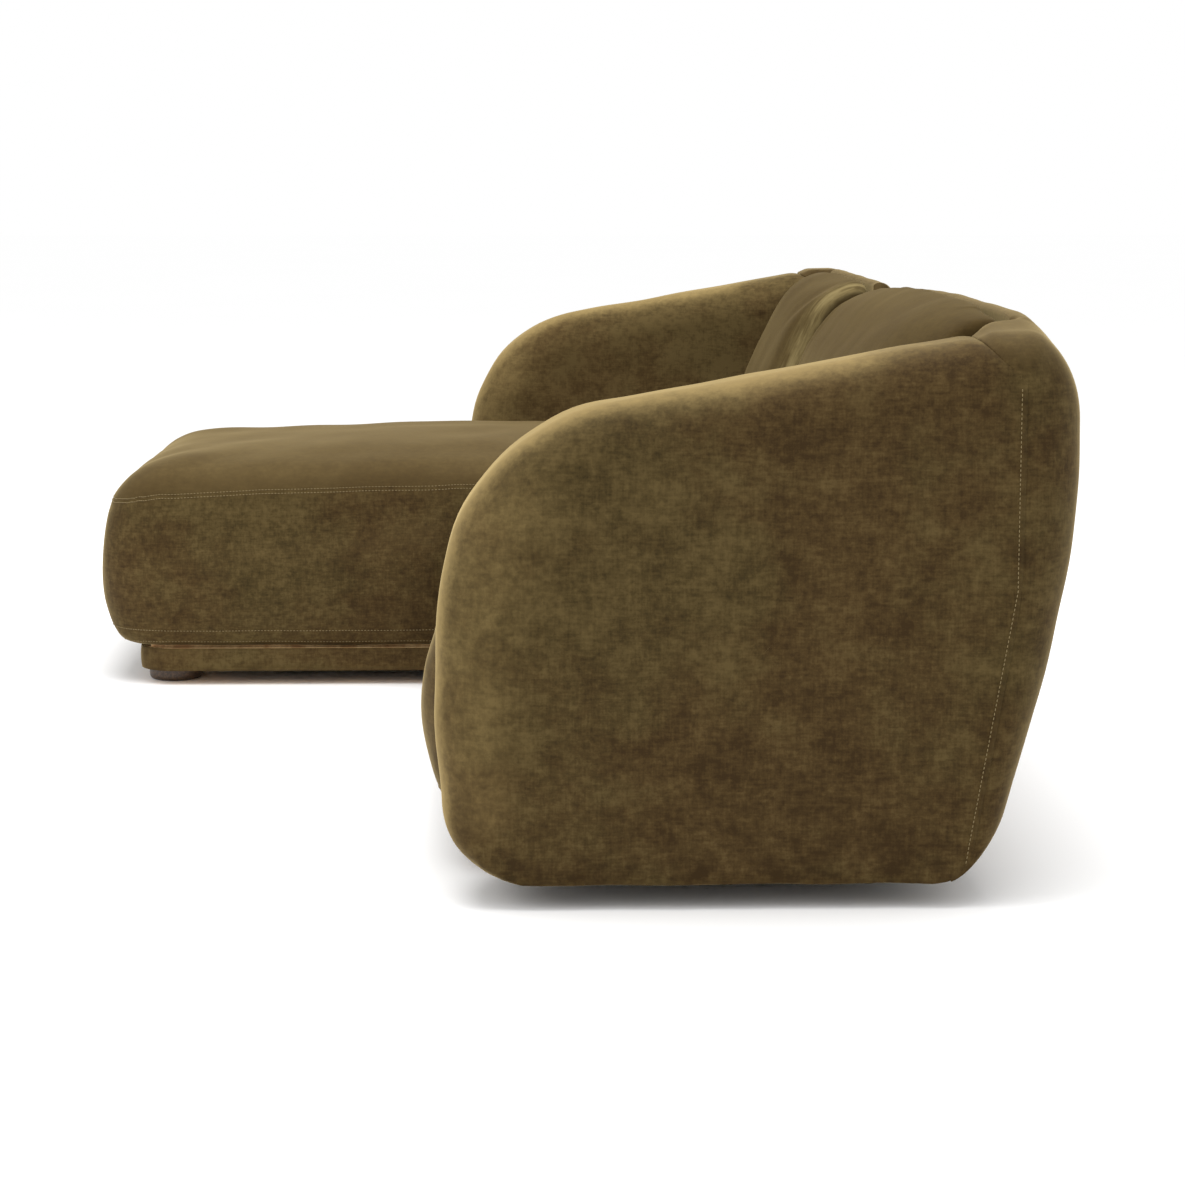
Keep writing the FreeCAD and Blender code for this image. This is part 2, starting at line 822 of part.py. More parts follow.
def ring(name, module, outside, inside, radius, inner_radius):
    """A padded-up band of the plinth's height between two rounded rectangles."""
    body = doc.addObject("PartDesign::Body", name)
    sketch = sketch_on(body, "XY_Plane", name + "_sketch")
    for distances, depths in (outside, inside):
        ends = sorted((along(module, distances[0]), along(module, distances[1])), key=mm)
        polygon(sketch, rectangle(ends, depths))
    band = pad(body, sketch, "plinth_height")
    bind(body, Placement_Base_z="foot_height")
    doc.recompute()
    middle = band.Shape.BoundBox.Center

    def corner_of(which):
        spots = [Vector(mm(along(module, u)), mm(y), middle.z) for u in which[0] for y in which[1]]
        return lambda edge: is_upright(edge) and any(
            math.hypot(edge.CenterOfMass.x - spot.x, edge.CenterOfMass.y - spot.y) < 1e-3 for spot in spots)

    rounded = round_edges(body, band, radius, corner_of(outside))
    if inner_radius:
        round_edges(body, rounded, inner_radius, corner_of(inside))
    return keep(body, name)


def make_base(name, module):
    front = f"({module['front']} + plinth_front_inset)"
    end = plinth_end(module)
    outer = (("side_u", end), (front, "frame_rear_y"))
    inner = (
        ("side_u + plinth_board", f"{end} - plinth_board"),
        (f"{front} + plinth_board", "frame_rear_y - plinth_board"),
    )
    band = (
        ("side_u - plinth_band", f"{end} + plinth_band"),
        (f"{front} - plinth_band", "frame_rear_y + plinth_band"),
    )
    ring(name + "_plinth", module, outer, inner, "plinth_corner", None)
    ring(name + "_plinth_band", module, band, outer, "plinth_corner + plinth_band", "plinth_corner")
    z = ("base_z - dust_cover_thickness", "base_z")
    keep(board(name + "_dust_cover", module, inner[0], inner[1], z), name + "_dust_cover")

    foot_u = ("module_gap / 2 + foot_side_inset", f"{arm_face(module)} - foot_side_inset")
    foot_y = (f"{module['front']} + foot_front_inset", "frame_rear_y - foot_rear_inset")
    corners = {
        "front_inner": (foot_u[0], foot_y[0], 0, 0),
        "front_outer": (foot_u[1], foot_y[0], 1, 0),
        "rear_inner": (foot_u[0], foot_y[1], 0, 1),
        "rear_outer": (foot_u[1], foot_y[1], 1, 1),
    }
    blocks = []
    studs = []
    nuts = []
    for corner, (u, y, at_end, at_rear) in corners.items():
        across = inner[0]
        span = (f"{across[1]} - block_size", across[1]) if at_end else (across[0], f"{across[0]} + block_size")
        deep = inner[1]
        depth = (f"{deep[1]} - block_size", deep[1]) if at_rear else (deep[0], f"{deep[0]} + block_size")
        tag = f"{name}_{corner}"
        block = board(tag + "_block", module, span, depth, ("foot_height", "block_top_z"))
        bore = "stud_diameter + 2 * thread_gap"
        shaft = rod(tag + "_shaft", module, u, y, "foot_height", bore, "plinth_height")
        socket = rod(
            tag + "_socket", module, u, y, "block_top_z - tee_length", "tee_barrel + 2 * thread_gap", "tee_length")
        blocks.append(cut(tag + "_bored_block", block, fuse(tag + "_bore", shaft, socket)))
        stud_low = "foot_height - stud_in_foot"
        studs.append(rod(
            tag + "_stud", module, u, y, stud_low, "stud_diameter", "block_top_z - foot_height + stud_in_foot"))
        barrel = rod(tag + "_barrel", module, u, y, "block_top_z - tee_length", "tee_barrel", "tee_length")
        flange = rod(tag + "_flange", module, u, y, "block_top_z", "tee_flange", "tee_flange_thickness")
        thread = rod(tag + "_thread", module, u, y, "foot_height", bore, "plinth_height")
        nuts.append(cut(tag + "_tee_nut", fuse(tag + "_tee", barrel, flange), thread))
        make_foot(f"{name}_{corner}_foot", module, u, y)
    group(name + "_corner_blocks", blocks)
    group(name + "_foot_studs", studs)
    group(name + "_tee_nuts", nuts)


def make_foot(label, module, u, y):
    """A round puck, turned about its stud, with a rounded lower edge."""
    body = doc.addObject("PartDesign::Body", label)
    sketch = sketch_on(body, "XZ_Plane", label + "_sketch")
    bore = "stud_diameter / 2 + thread_gap"
    rim = "foot_diameter / 2"
    floor = "foot_height - stud_in_foot - thread_gap"
    polygon(sketch, [
        ("0", "0"), (rim, "0"), (rim, "foot_height"), (bore, "foot_height"), (bore, floor), ("0", floor)])
    turned = body.newObject("PartDesign::Revolution", label + "_turned")
    turned.Profile = sketch
    turned.ReferenceAxis = (sketch, ["V_Axis"])
    turned.Angle = 360
    radius = mm(rim)

    def is_lower_rim(edge):
        box = edge.BoundBox
        return box.ZMax < 1e-6 and abs(box.XMax - radius) < 1e-3 and box.ZLength < 1e-6

    round_edges(body, turned, "foot_edge", is_lower_rim)
    bind(body, Placement_Base_x=along(module, u), Placement_Base_y=y)
    keep(body, label)


# Connectors: steel tongues on the loveseat, steel jaws on the chaise, in the channel between the plinths

def make_connectors():
    face = "(side_u - plinth_band)"
    plate = f"({face} - bracket_plate)"
    half = "bracket_plate / 2"
    mouth = f"({half} + jaw_gap)"
    low = "bracket_height / 2"
    tongue = [
        (face, f"-{low}"), (face, low), (plate, low), (plate, half),
        (f"{plate} - tongue_reach", half), (f"{plate} - tongue_reach", f"-{half}"),
        (plate, f"-{half}"), (plate, f"-{low}"),
    ]
    lip = f"(jaw_reach - {plate})"
    jaw = [
        (f"-{face}", f"-{low}"), (f"-{plate}", f"-{low}"), (f"-{plate}", f"-({mouth} + bracket_plate)"),
        (lip, f"-({mouth} + bracket_plate)"), (lip, f"-{mouth}"), (f"-{plate}", f"-{mouth}"),
        (f"-{plate}", mouth), (lip, mouth), (lip, f"{mouth} + bracket_plate"),
        (f"-{plate}", f"{mouth} + bracket_plate"), (f"-{plate}", low), (f"-{face}", low),
    ]
    depths = {
        "front": "loveseat_front_y + bracket_front_setback",
        "rear": "frame_rear_y - bracket_rear_setback",
    }
    for label, profile in (("connector_tongues", tongue), ("connector_jaws", jaw)):
        brackets = []
        for end, y in depths.items():
            body = doc.addObject("PartDesign::Body", f"{label}_{end}")
            sketch = sketch_on(body, "XZ_Plane", f"{label}_{end}_sketch")
            polygon(sketch, profile)
            pad(body, sketch, "bracket_width", True)
            bind(body, Placement_Base_x="split_x", Placement_Base_y=y, Placement_Base_z="bracket_z")
            brackets.append(body)
        group(label, brackets)


for name, module in modules.items():
    make_seat(name, module)
    make_arm(name, module)
    make_back(name, module)
    make_base(name, module)
make_connectors()
doc.recompute()

for piece in doc.Objects:
    if "Invalid" in piece.State or "Error" in piece.State:
        raise RuntimeError(f"{piece.Label} is {piece.State}")
for piece in subparts:
    if piece.Shape.isNull() or not piece.Shape.isValid() or not piece.Shape.Solids:
        raise RuntimeError(f"{piece.Label} has no valid solid")

os.makedirs("parts", exist_ok=True)
for piece in subparts:
    piece.Shape.exportStep(f"parts/{piece.Label}.step")
print(len(subparts), "sub-parts")
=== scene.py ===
import json
import bpy
import numpy as np
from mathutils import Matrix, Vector
from mathutils.bvhtree import BVHTree


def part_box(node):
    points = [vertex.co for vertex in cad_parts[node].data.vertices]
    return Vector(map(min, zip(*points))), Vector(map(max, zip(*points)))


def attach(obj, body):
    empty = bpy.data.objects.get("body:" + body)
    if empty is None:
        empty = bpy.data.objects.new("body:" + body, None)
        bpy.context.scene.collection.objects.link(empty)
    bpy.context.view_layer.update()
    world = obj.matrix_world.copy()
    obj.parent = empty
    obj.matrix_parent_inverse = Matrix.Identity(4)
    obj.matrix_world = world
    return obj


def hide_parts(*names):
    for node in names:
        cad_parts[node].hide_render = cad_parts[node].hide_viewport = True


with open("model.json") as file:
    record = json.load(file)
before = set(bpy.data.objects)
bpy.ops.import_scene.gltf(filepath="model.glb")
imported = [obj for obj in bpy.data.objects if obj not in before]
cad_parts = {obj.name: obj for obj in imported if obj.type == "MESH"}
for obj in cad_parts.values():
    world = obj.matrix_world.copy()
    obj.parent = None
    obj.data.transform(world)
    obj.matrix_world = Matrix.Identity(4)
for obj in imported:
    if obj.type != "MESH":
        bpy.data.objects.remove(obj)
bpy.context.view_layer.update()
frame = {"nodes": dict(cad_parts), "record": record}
scene = bpy.context.scene
print("frame loaded:", len(frame["nodes"]), "nodes")

# Lengths in metres; u is the distance from the split between the modules towards an arm
sofa = {
    "splitX": -0.370,
    "gap": 0.003,
    "rearY": 0.781,
    "baseZ": 0.072,
    "seamFootY": 0.632,
    "seamTopY": 0.693,
    "seamZ": 0.430,
    "armThickness": 0.190,
    "clearance": 0.0004,
    "bowRadius": 0.9,
    "modules": {
        "loveseat": {"sign": 1, "width": 1.695, "front": -0.105, "seed": 11, "brushedAndPaintedHighlight": 0.0,
                     "backDrop": 0.0, "dome": 0.042, "endRoll": 0.050, "endLength": 0.040},
        "chaise": {"sign": -1, "width": 0.955, "front": -0.785, "seed": 23, "brushedAndPaintedHighlight": 0.9,
                   "backDrop": 0.018, "dome": 0.0, "endRoll": 0.072, "endLength": 0.065},
    },
}


def acrossX(module, u):
    # the X of the split plus u towards the module's arm
    return sofa["splitX"] + module["sign"] * u


def armFace(module):
    # distance from the split to the inner face of the arm
    return module["width"] - sofa["armThickness"]


def seamY(height):
    # depth of the seam line: a straight slope from the hem up to seamZ, then upright
    share = np.clip((height - sofa["baseZ"]) / (sofa["seamZ"] - sofa["baseZ"]), None, 1)
    return sofa["seamFootY"] + (sofa["seamTopY"] - sofa["seamFootY"]) * share


def seamLean():
    # slope of the seam line below seamZ, as an angle above the floor
    return np.arctan2(sofa["seamZ"] - sofa["baseZ"], sofa["seamTopY"] - sofa["seamFootY"])


def easeStep(low, high, value):
    # 0 below low, 1 above high, and 3t^2 - 2t^3 between
    t = np.clip((value - low) / (high - low), 0, 1)
    return t * t * (3 - 2 * t)


def nearing(edge, reach, value):
    # 0 up to the first reach before an edge, 1 from the second reach before it on
    return easeStep(edge - reach[0], edge - reach[1], value)


def arcLoop(corners, insets, arcSteps, edgeSteps, leastRadius=0.001, usedShare=0.98):
    # closed polygon: each edge moves inwards by its inset, and each corner (across, up, radius)
    # becomes an arc, shrunk where two arcs would take more than the used share of an edge
    corners = np.asarray(corners, float)
    insets = np.asarray(insets, float)
    flat = corners[:, :2]
    nextWay = np.roll(flat, -1, 0) - flat
    nextWay /= np.linalg.norm(nextWay, axis=1)[:, None]
    inward = np.stack([-nextWay[:, 1], nextWay[:, 0]], 1)
    moved = flat + inward * insets[:, None]
    lastWay = np.roll(nextWay, 1, 0)
    lastMoved = np.roll(moved, 1, 0)
    cross = lastWay[:, 0] * nextWay[:, 1] - lastWay[:, 1] * nextWay[:, 0]
    gap = moved - lastMoved
    reach = (gap[:, 0] * nextWay[:, 1] - gap[:, 1] * nextWay[:, 0]) / cross
    points = lastMoved + lastWay * reach[:, None]
    lengths = np.linalg.norm(np.roll(points, -1, 0) - points, axis=1)
    turn = np.arctan2(cross, (lastWay * nextWay).sum(1))
    drawn = np.maximum(np.maximum(insets, np.roll(insets, 1)), 0)
    radius = np.maximum(corners[:, 2] - drawn, leastRadius)
    tangent = radius * np.tan(np.abs(turn) / 2)
    share = np.minimum(1, usedShare * lengths / (tangent + np.roll(tangent, -1)))
    tangent = tangent * np.minimum(share, np.roll(share, 1))
    radius = tangent / np.tan(np.abs(turn) / 2)
    start = points - lastWay * tangent[:, None]
    end = points + nextWay * tangent[:, None]
    lastInward = np.roll(inward, 1, 0)
    centre = start + lastInward * (np.sign(turn) * radius)[:, None]
    angle = turn[:, None] * np.linspace(0, 1, arcSteps + 1)[None, :]
    arm = start - centre
    arcX = arm[:, :1] * np.cos(angle) - arm[:, 1:] * np.sin(angle)
    arcY = arm[:, :1] * np.sin(angle) + arm[:, 1:] * np.cos(angle)
    arcs = centre[:, None, :] + np.stack([arcX, arcY], 2)
    part = np.linspace(0, 1, edgeSteps + 1)[1:-1]
    after = np.roll(start, -1, 0)
    edges = end[:, None, :] + (after - end)[:, None, :] * part[None, :, None]
    return np.concatenate([arcs, edges], 1).reshape(-1, 2)


def skinFaces(rows, columns):
    # quads between neighbouring rings, which close round, and a fan of triangles at each pole
    index = 1 + np.arange(rows * columns).reshape(rows, columns)
    right = np.roll(index, -1, 1)
    quads = np.stack([index[:-1], right[:-1], right[1:], index[1:]], 2).reshape(-1, 4)
    low = np.stack([np.zeros(columns, int), right[0], index[0]], 1)
    high = np.stack([np.full(columns, rows * columns + 1), index[-1], right[-1]], 1)
    return quads, np.concatenate([low, high])


def newMesh(name, points, faces):
    mesh = bpy.data.meshes.new(name)
    mesh.from_pydata(np.asarray(points, float).tolist(), [], faces)
    mesh.update()
    piece = bpy.data.objects.new(name, mesh)
    scene.collection.objects.link(piece)
    mesh.polygons.foreach_set("use_smooth", np.ones(len(mesh.polygons), bool))
    return piece


def turnOutwards(piece):
    # the signed volume tells whether the faces point outwards
    mesh = piece.data
    mesh.calc_loop_triangles()
    corner = np.zeros(len(mesh.loop_triangles) * 3, np.int32)
    mesh.loop_triangles.foreach_get("vertices", corner)
    a, b, c = readPoints(piece)[corner.reshape(-1, 3)].transpose(1, 0, 2)
    if (a * np.cross(b, c)).sum() < 0:
        mesh.flip_normals()
    mesh.update()
    return piece


def hoopMesh(name, rings):
    # a closed ring of cloth: the rings join round, and the last joins the first
    rings = np.asarray(rings, float)
    rows, columns = rings.shape[:2]
    index = np.arange(rows * columns).reshape(rows, columns)
    right = np.roll(index, -1, 1)
    corners = [index, right, np.roll(right, -1, 0), np.roll(index, -1, 0)]
    quads = np.stack(corners, 2).reshape(-1, 4)
    return turnOutwards(newMesh(name, rings.reshape(-1, 3), quads.tolist()))


def capRings(ring, outward, crown, steps):
    # a face that rises by crown * (1 - s^2)^2 while the ring shrinks by s to its middle
    s = np.linspace(1, 0, steps + 1)[1:-1]
    middle = ring.mean(0)
    rise = crown * (1 - s ** 2) ** 2
    flat = middle + (ring - middle)[None] * s[:, None, None]
    return flat + np.asarray(outward, float)[None, None, :] * rise[:, None, None]


def skinMesh(name, rings, way, crown, lowSteps, highSteps):
    # a closed skin over rings set along a way: a flat first face, and a last one with a crown
    way = np.array(way)
    low = capRings(rings[0], -way, 0.0, lowSteps)[::-1]
    rings = np.concatenate([low, rings, capRings(rings[-1], way, crown, highSteps)])
    quads, fans = skinFaces(*rings.shape[:2])
    points = [rings[0].mean(0), *rings.reshape(-1, 3), rings[-1].mean(0)]
    return turnOutwards(newMesh(name, points, quads.tolist() + fans.tolist()))


def readPoints(piece, kind="co"):
    values = np.zeros(len(piece.data.vertices) * 3, np.float32)
    piece.data.vertices.foreach_get(kind, values)
    return values.reshape(-1, 3).astype(float)


def readNormals(piece):
    return readPoints(piece, "normal")


def writePoints(piece, points):
    piece.data.vertices.foreach_set("co", np.asarray(points, np.float32).ravel())
    piece.data.update()


def ripples(points, seed, scale, count=14):
    # sum of sine waves with seeded directions, lengths round the scale and phases, about -1 to 1
    dice = np.random.default_rng(seed)
    ways = dice.normal(size=(count, 3))
    ways /= np.linalg.norm(ways, axis=1)[:, None]
    lengths = scale * dice.uniform(0.6, 1.6, count)
    phases = dice.uniform(0, 2 * np.pi, count)
    turns = points @ (ways * (2 * np.pi / lengths)[:, None]).T + phases
    return np.sin(turns).sum(1) / np.sqrt(count)


def crease(piece, seed, depth, scale, share=1.0):
    # moves each point along its normal by the ripples times the depth and a share
    points = readPoints(piece)
    height = depth * share * ripples(points, seed, scale)
    writePoints(piece, points + readNormals(piece) * height[:, None])


def remeshed(piece, voxel):
    modifier = piece.modifiers.new("remesh", "REMESH")
    modifier.mode = "VOXEL"
    modifier.voxel_size = voxel
    modifier.use_smooth_shade = True
    applyModifiers(piece)
    return piece


def applyModifiers(piece):
    bpy.context.view_layer.update()
    shape = piece.evaluated_get(bpy.context.evaluated_depsgraph_get())
    mesh = bpy.data.meshes.new_from_object(shape)
    old = piece.data
    piece.modifiers.clear()
    piece.data = mesh
    bpy.data.meshes.remove(old)
    mesh.name = piece.name


clothSize = {
    "pressure": 4.0, "frames": 16, "quality": 4, "mass": 0.4,
    "weights": (1.0, 0.6, 0.25), "weightReach": 0.2,
}


def swell(piece, held, free, cap):
    # Blender's cloth under inner pressure; held is 1 on sewn points,
    # and each movement m is capped as cap * tanh(m / cap) and scaled by free
    size = clothSize
    start = readPoints(piece)
    group = piece.vertex_groups.new(name="sewn")
    for weight in size["weights"]:
        chosen = np.flatnonzero(np.abs(held - weight) <= size["weightReach"])
        group.add(chosen.tolist(), weight, "REPLACE")
    cloth = piece.modifiers.new("swell", "CLOTH")
    cloth.settings.use_pressure = True
    cloth.settings.uniform_pressure_force = size["pressure"]
    cloth.settings.effector_weights.gravity = 0
    cloth.settings.vertex_group_mass = "sewn"
    cloth.settings.quality = size["quality"]
    cloth.settings.mass = size["mass"]
    cloth.collision_settings.use_collision = False
    cloth.point_cache.frame_start = 1
    cloth.point_cache.frame_end = size["frames"]
    for step in range(1, size["frames"] + 1):
        scene.frame_set(step)
    shape = piece.evaluated_get(bpy.context.evaluated_depsgraph_get())
    move = readPoints(shape) - start
    piece.modifiers.remove(cloth)
    piece.vertex_groups.clear()
    scene.frame_set(1)
    length = np.linalg.norm(move, axis=1) + 1e-9
    capped = cap * np.tanh(length / cap)
    start = start + move * (capped / length * free)[:, None]
    writePoints(piece, start)


def smoothed(piece, rounds, share=0.5):
    # moves each point by a share of the way to the middle of its neighbours
    count = len(piece.data.vertices)
    edges = np.zeros(len(piece.data.edges) * 2, np.int32)
    piece.data.edges.foreach_get("vertices", edges)
    first, second = edges.reshape(-1, 2).T
    degree = np.bincount(edges, minlength=count)[:, None]
    points = readPoints(piece)
    for _ in range(rounds):
        total = np.zeros_like(points)
        np.add.at(total, first, points[second])
        np.add.at(total, second, points[first])
        points += share * (total / degree - points)
    writePoints(piece, points)


def subdivided(piece, levels=1):
    modifier = piece.modifiers.new("round", "SUBSURF")
    modifier.levels = levels
    modifier.render_levels = levels
    return piece


def pileAndPaintedLight(piece, rim=0.0, calm=0.0, brush=0.0, lay=0.0):
    # per-point attributes: a painted sheen highlight on rolled edges and upward faces, calm for a
    # smoother pile, a painted highlight streak in strokes, and a tone that is darker or lighter,
    # painting shade in gaps, gathers and on the back cushions
    count = len(piece.data.vertices)
    for name, values in (("rim", rim), ("calm", calm), ("brush", brush), ("lay", lay)):
        attribute = piece.data.attributes.new(name, "FLOAT", "POINT")
        spread = np.broadcast_to(np.asarray(values, np.float32), count)
        attribute.data.foreach_set("value", spread.copy())


def place(piece, body, material, nodes=()):
    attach(piece, body)
    piece.data.materials.clear()
    piece.data.materials.append(material)
    if nodes:
        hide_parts(*nodes)
    return piece


# Materials


class Link:
    # a socket of a material's nodes, with the arithmetic written as operators
    def __init__(self, tree, socket=None):
        self.tree = tree
        self.socket = socket

    def make(self, kind, settings, inputs, output=0):
        node = self.tree.nodes.new(kind)
        for name, value in settings.items():
            if name == "stops":
                while len(node.color_ramp.elements) < len(value):
                    node.color_ramp.elements.new(0.5)
                for element, (position, colour) in zip(node.color_ramp.elements, value):
                    element.position = position
                    element.color = colour
            else:
                setattr(node, name, value)
        for name, value in inputs.items():
            if isinstance(value, Link):
                self.tree.links.new(value.socket, node.inputs[name])
            else:
                node.inputs[name].default_value = value
        return Link(self.tree, node.outputs[output])

    def maths(self, operation, *values):
        return self.make("ShaderNodeMath", {"operation": operation}, dict(enumerate(values)))

    def __add__(self, other):
        return self.maths("ADD", self, other)

    def __sub__(self, other):
        return self.maths("SUBTRACT", self, other)

    def __rsub__(self, other):
        return self.maths("SUBTRACT", other, self)

    def __mul__(self, other):
        return self.maths("MULTIPLY", self, other)

    __radd__ = __add__
    __rmul__ = __mul__

    def between(self, low, high):
        # 0 below low, 1 above high, smooth between
        return self.make("ShaderNodeMapRange", {"interpolation_type": "SMOOTHSTEP"},
                         {"Value": self, "From Min": low, "From Max": high})

    def noise(self, scale, detail=3.0, roughness=0.55, distortion=0.0):
        return self.make("ShaderNodeTexNoise", {},
                         {"Vector": self, "Scale": scale, "Detail": detail, "Roughness": roughness,
                          "Distortion": distortion})

    def stretched(self, scale):
        return self.make("ShaderNodeMapping", {}, {"Vector": self, "Scale": scale})

    def mix(self, first, second):
        # self is the share of the second colour
        return self.make("ShaderNodeMix", {"data_type": "RGBA"}, {0: self, 6: first, 7: second}, 2)


def srgb(red, green, blue):
    # linear colour of 0 to 255 display values
    value = np.array([red, green, blue]) / 255
    linear = np.where(value <= 0.04045, value / 12.92, ((value + 0.055) / 1.055) ** 2.4)
    return (*linear.tolist(), 1.0)


def newMaterial(name):
    material = bpy.data.materials.new(name)
    material.use_nodes = True
    tree = material.node_tree
    shader = tree.nodes["Principled BSDF"]
    where = Link(tree).make("ShaderNodeTexCoord", {}, {}, "Object")
    return material, shader, where


def wire(shader, **links):
    for name, link in links.items():
        shader.id_data.links.new(link.socket, shader.inputs[name.replace("_", " ")])


def bumped(where, height, strength, distance):
    inputs = {"Height": height, "Strength": strength, "Distance": distance}
    return where.make("ShaderNodeBump", {}, inputs)


velvetLook = {
    "deep": srgb(44, 33, 15),
    "body": srgb(68, 54, 29),
    "open": srgb(90, 74, 44),
    "warm": srgb(75, 54, 29),
    "moss": srgb(63, 56, 29),
    # painted highlight colours: the next is a painted sheen on rolled edges and upward faces, the one
    # after a painted lit streak on a cushion end
    "rim": srgb(146, 125, 80),
    "brushedAndPaintedHighlight": srgb(160, 144, 100),
    "sheenTint": srgb(220, 196, 138),
    "paintedSheenShare": 0.66, "paintedStreakShare": 0.55,
    "sheen": 0.5, "backSheen": 0.22, "sheenRoughness": 0.3,
    "specular": 0.1, "backSpecular": 0.03,
    "clouds": (3.5, 2.0, 0.55), "patches": (15.0, 6.0, 0.72), "flecks": (85.0, 3.0, 0.7),
    "upright": (320.0, 2.0, 0.5), "level": (280.0, 2.0, 0.5), "strokes": (60.0, 4.0, 0.65),
}


def velvet(name, sheen, specular):
    # short pile: soft patches where it lies another way, thread lines both ways,
    # and a painted sheen highlight on rolled edges; each noise is given as scale, detail and
    # roughness
    look = velvetLook
    material, shader, where = newMaterial(name)
    rim, calm, brush, lay = [where.make("ShaderNodeAttribute", {"attribute_name": kind}, {}, "Fac")
                             for kind in ("rim", "calm", "brush", "lay")]
    clouds = where.noise(*look["clouds"])
    patches = where.stretched((1.0, 0.8, 1.1)).noise(*look["patches"])
    flecks = where.noise(*look["flecks"])
    upright = where.stretched((1.0, 1.0, 0.10)).noise(*look["upright"])
    level = where.stretched((0.16, 0.16, 1.0)).noise(*look["level"])
    threads = upright * 0.4 + level * 0.6
    rough = 1 - 0.8 * calm
    mottle = (patches - 0.5) * 1.25 + (flecks - 0.5) * 0.9
    mottle = (mottle + (threads - 0.5) * 0.7) * rough
    # the tone shift darkens some parts as painted shade and lightens others
    tone = mottle + (clouds - 0.5) * 0.35 + 0.5 + 0.4 * lay
    stops = [(0.22, look["deep"]), (0.5, look["body"]), (0.8, look["open"])]
    colour = where.make("ShaderNodeValToRGB", {"stops": stops}, {"Fac": tone})
    lean = (clouds * 0.6 + patches * 0.4).between(0.4, 0.6)
    colour = (0.24 * rough).mix(colour, lean.mix(look["warm"], look["moss"]))
    # painted sheen highlight: the pale colour is laid on rolled edges and upward faces where the
    # attribute marks them
    edge = (rim * (0.2 + 0.7 * flecks + 0.9 * patches)).between(0.02, 1.05)
    colour = (edge * look["paintedSheenShare"]).mix(colour, look["rim"])
    # painted highlight: a pale streak in brushed-looking strokes where a cushion's rolled end catches
    # the light
    strokes = where.stretched((1.0, 0.16, 0.1)).noise(*look["strokes"]).between(0.3, 0.75)
    colour = (strokes * brush * look["paintedStreakShare"]).mix(colour, look["brushedAndPaintedHighlight"])
    wire(shader, Base_Color=colour, Roughness=0.8 + 0.15 * flecks,
         Normal=bumped(where, threads * 0.6 + flecks * 0.4, 0.3, 0.0014))
    shader.inputs["Sheen Weight"].default_value = sheen
    shader.inputs["Sheen Roughness"].default_value = look["sheenRoughness"]
    shader.inputs["Sheen Tint"].default_value = look["sheenTint"]
    shader.inputs["Specular IOR Level"].default_value = specular
    return material


def thread():
    material, shader, where = newMaterial("sewing thread")
    twist = where.noise(1400.0, 2.0, 0.5)
    colour = twist.mix(srgb(98, 82, 50), srgb(136, 118, 78))
    wire(shader, Base_Color=colour, Roughness=0.6 + 0.2 * twist)
    return material


def sawnTimber(name, pale, dark, scale):
    # growth rings as stretched noise along X, with fine pores
    material, shader, where = newMaterial(name)
    rings = where.stretched((scale, 9.0, 9.0)).noise(4.0, 5.0, 0.6, 1.0)
    pores = where.stretched((6.0, 160.0, 160.0)).noise(5.0, 3.0, 0.6)
    colour = rings.between(0.35, 0.65).mix(pale, dark)
    colour = (pores.between(0.55, 0.75) * 0.35).mix(colour, dark)
    wire(shader, Base_Color=colour, Roughness=0.6 + 0.2 * pores,
         Normal=bumped(where, pores, 0.2, 0.0006))
    return material


def footFinish():
    # dark stained turned wood with a satin coat
    material, shader, where = newMaterial("stained foot")
    grain = where.stretched((3.0, 40.0, 40.0)).noise(5.0, 5.0, 0.65, 0.6)
    wear = where.noise(60.0, 4.0, 0.6)
    colour = grain.between(0.35, 0.7).mix(srgb(46, 32, 18), srgb(84, 60, 36))
    wire(shader, Base_Color=colour, Roughness=0.38 + 0.25 * wear,
         Normal=bumped(where, grain, 0.15, 0.0005))
    shader.inputs["Coat Weight"].default_value = 0.15
    return material


def platedSteel():
    # zinc plate: fine brushed lines and soft duller spots
    material, shader, where = newMaterial("plated steel")
    brushedAndPaintedHighlight = where.stretched((1.0, 30.0, 30.0)).noise(40.0, 3.0, 0.6)
    spots = where.noise(70.0, 4.0, 0.6)
    colour = spots.between(0.4, 0.65).mix(srgb(176, 176, 170), srgb(150, 150, 146))
    wire(shader, Base_Color=colour, Roughness=0.28 + 0.2 * brushedAndPaintedHighlight,
         Normal=bumped(where, brushedAndPaintedHighlight, 0.1, 0.0003))
    shader.inputs["Metallic"].default_value = 1.0
    return material


def wovenBand(name, pale, dark, pitch):
    # plain weave: two crossed waves at the pitch of the threads
    material, shader, where = newMaterial(name)
    inputs = {"Vector": where, "Scale": pitch, "Distortion": 1.0}
    warp, weft = [where.make("ShaderNodeTexWave", {"bands_direction": way}, inputs) for way in "XY"]
    weave = warp * weft
    fuzz = where.noise(120.0, 3.0, 0.6)
    colour = (weave * 0.7 + fuzz * 0.3).mix(dark, pale)
    wire(shader, Base_Color=colour, Roughness=0.8 + 0.15 * fuzz,
         Normal=bumped(where, weave, 0.4, 0.0008))
    return material


def paleFloor():
    material, shader, where = newMaterial("pale floor")
    cloud = where.noise(0.6, 2.0, 0.5)
    colour = cloud.mix(srgb(255, 255, 255), srgb(254, 254, 254))
    wire(shader, Base_Color=colour)
    shader.inputs["Roughness"].default_value = 0.9
    shader.inputs["Specular IOR Level"].default_value = 0.0
    return material


velvetMat = velvet("moss velvet", velvetLook["sheen"], velvetLook["specular"])
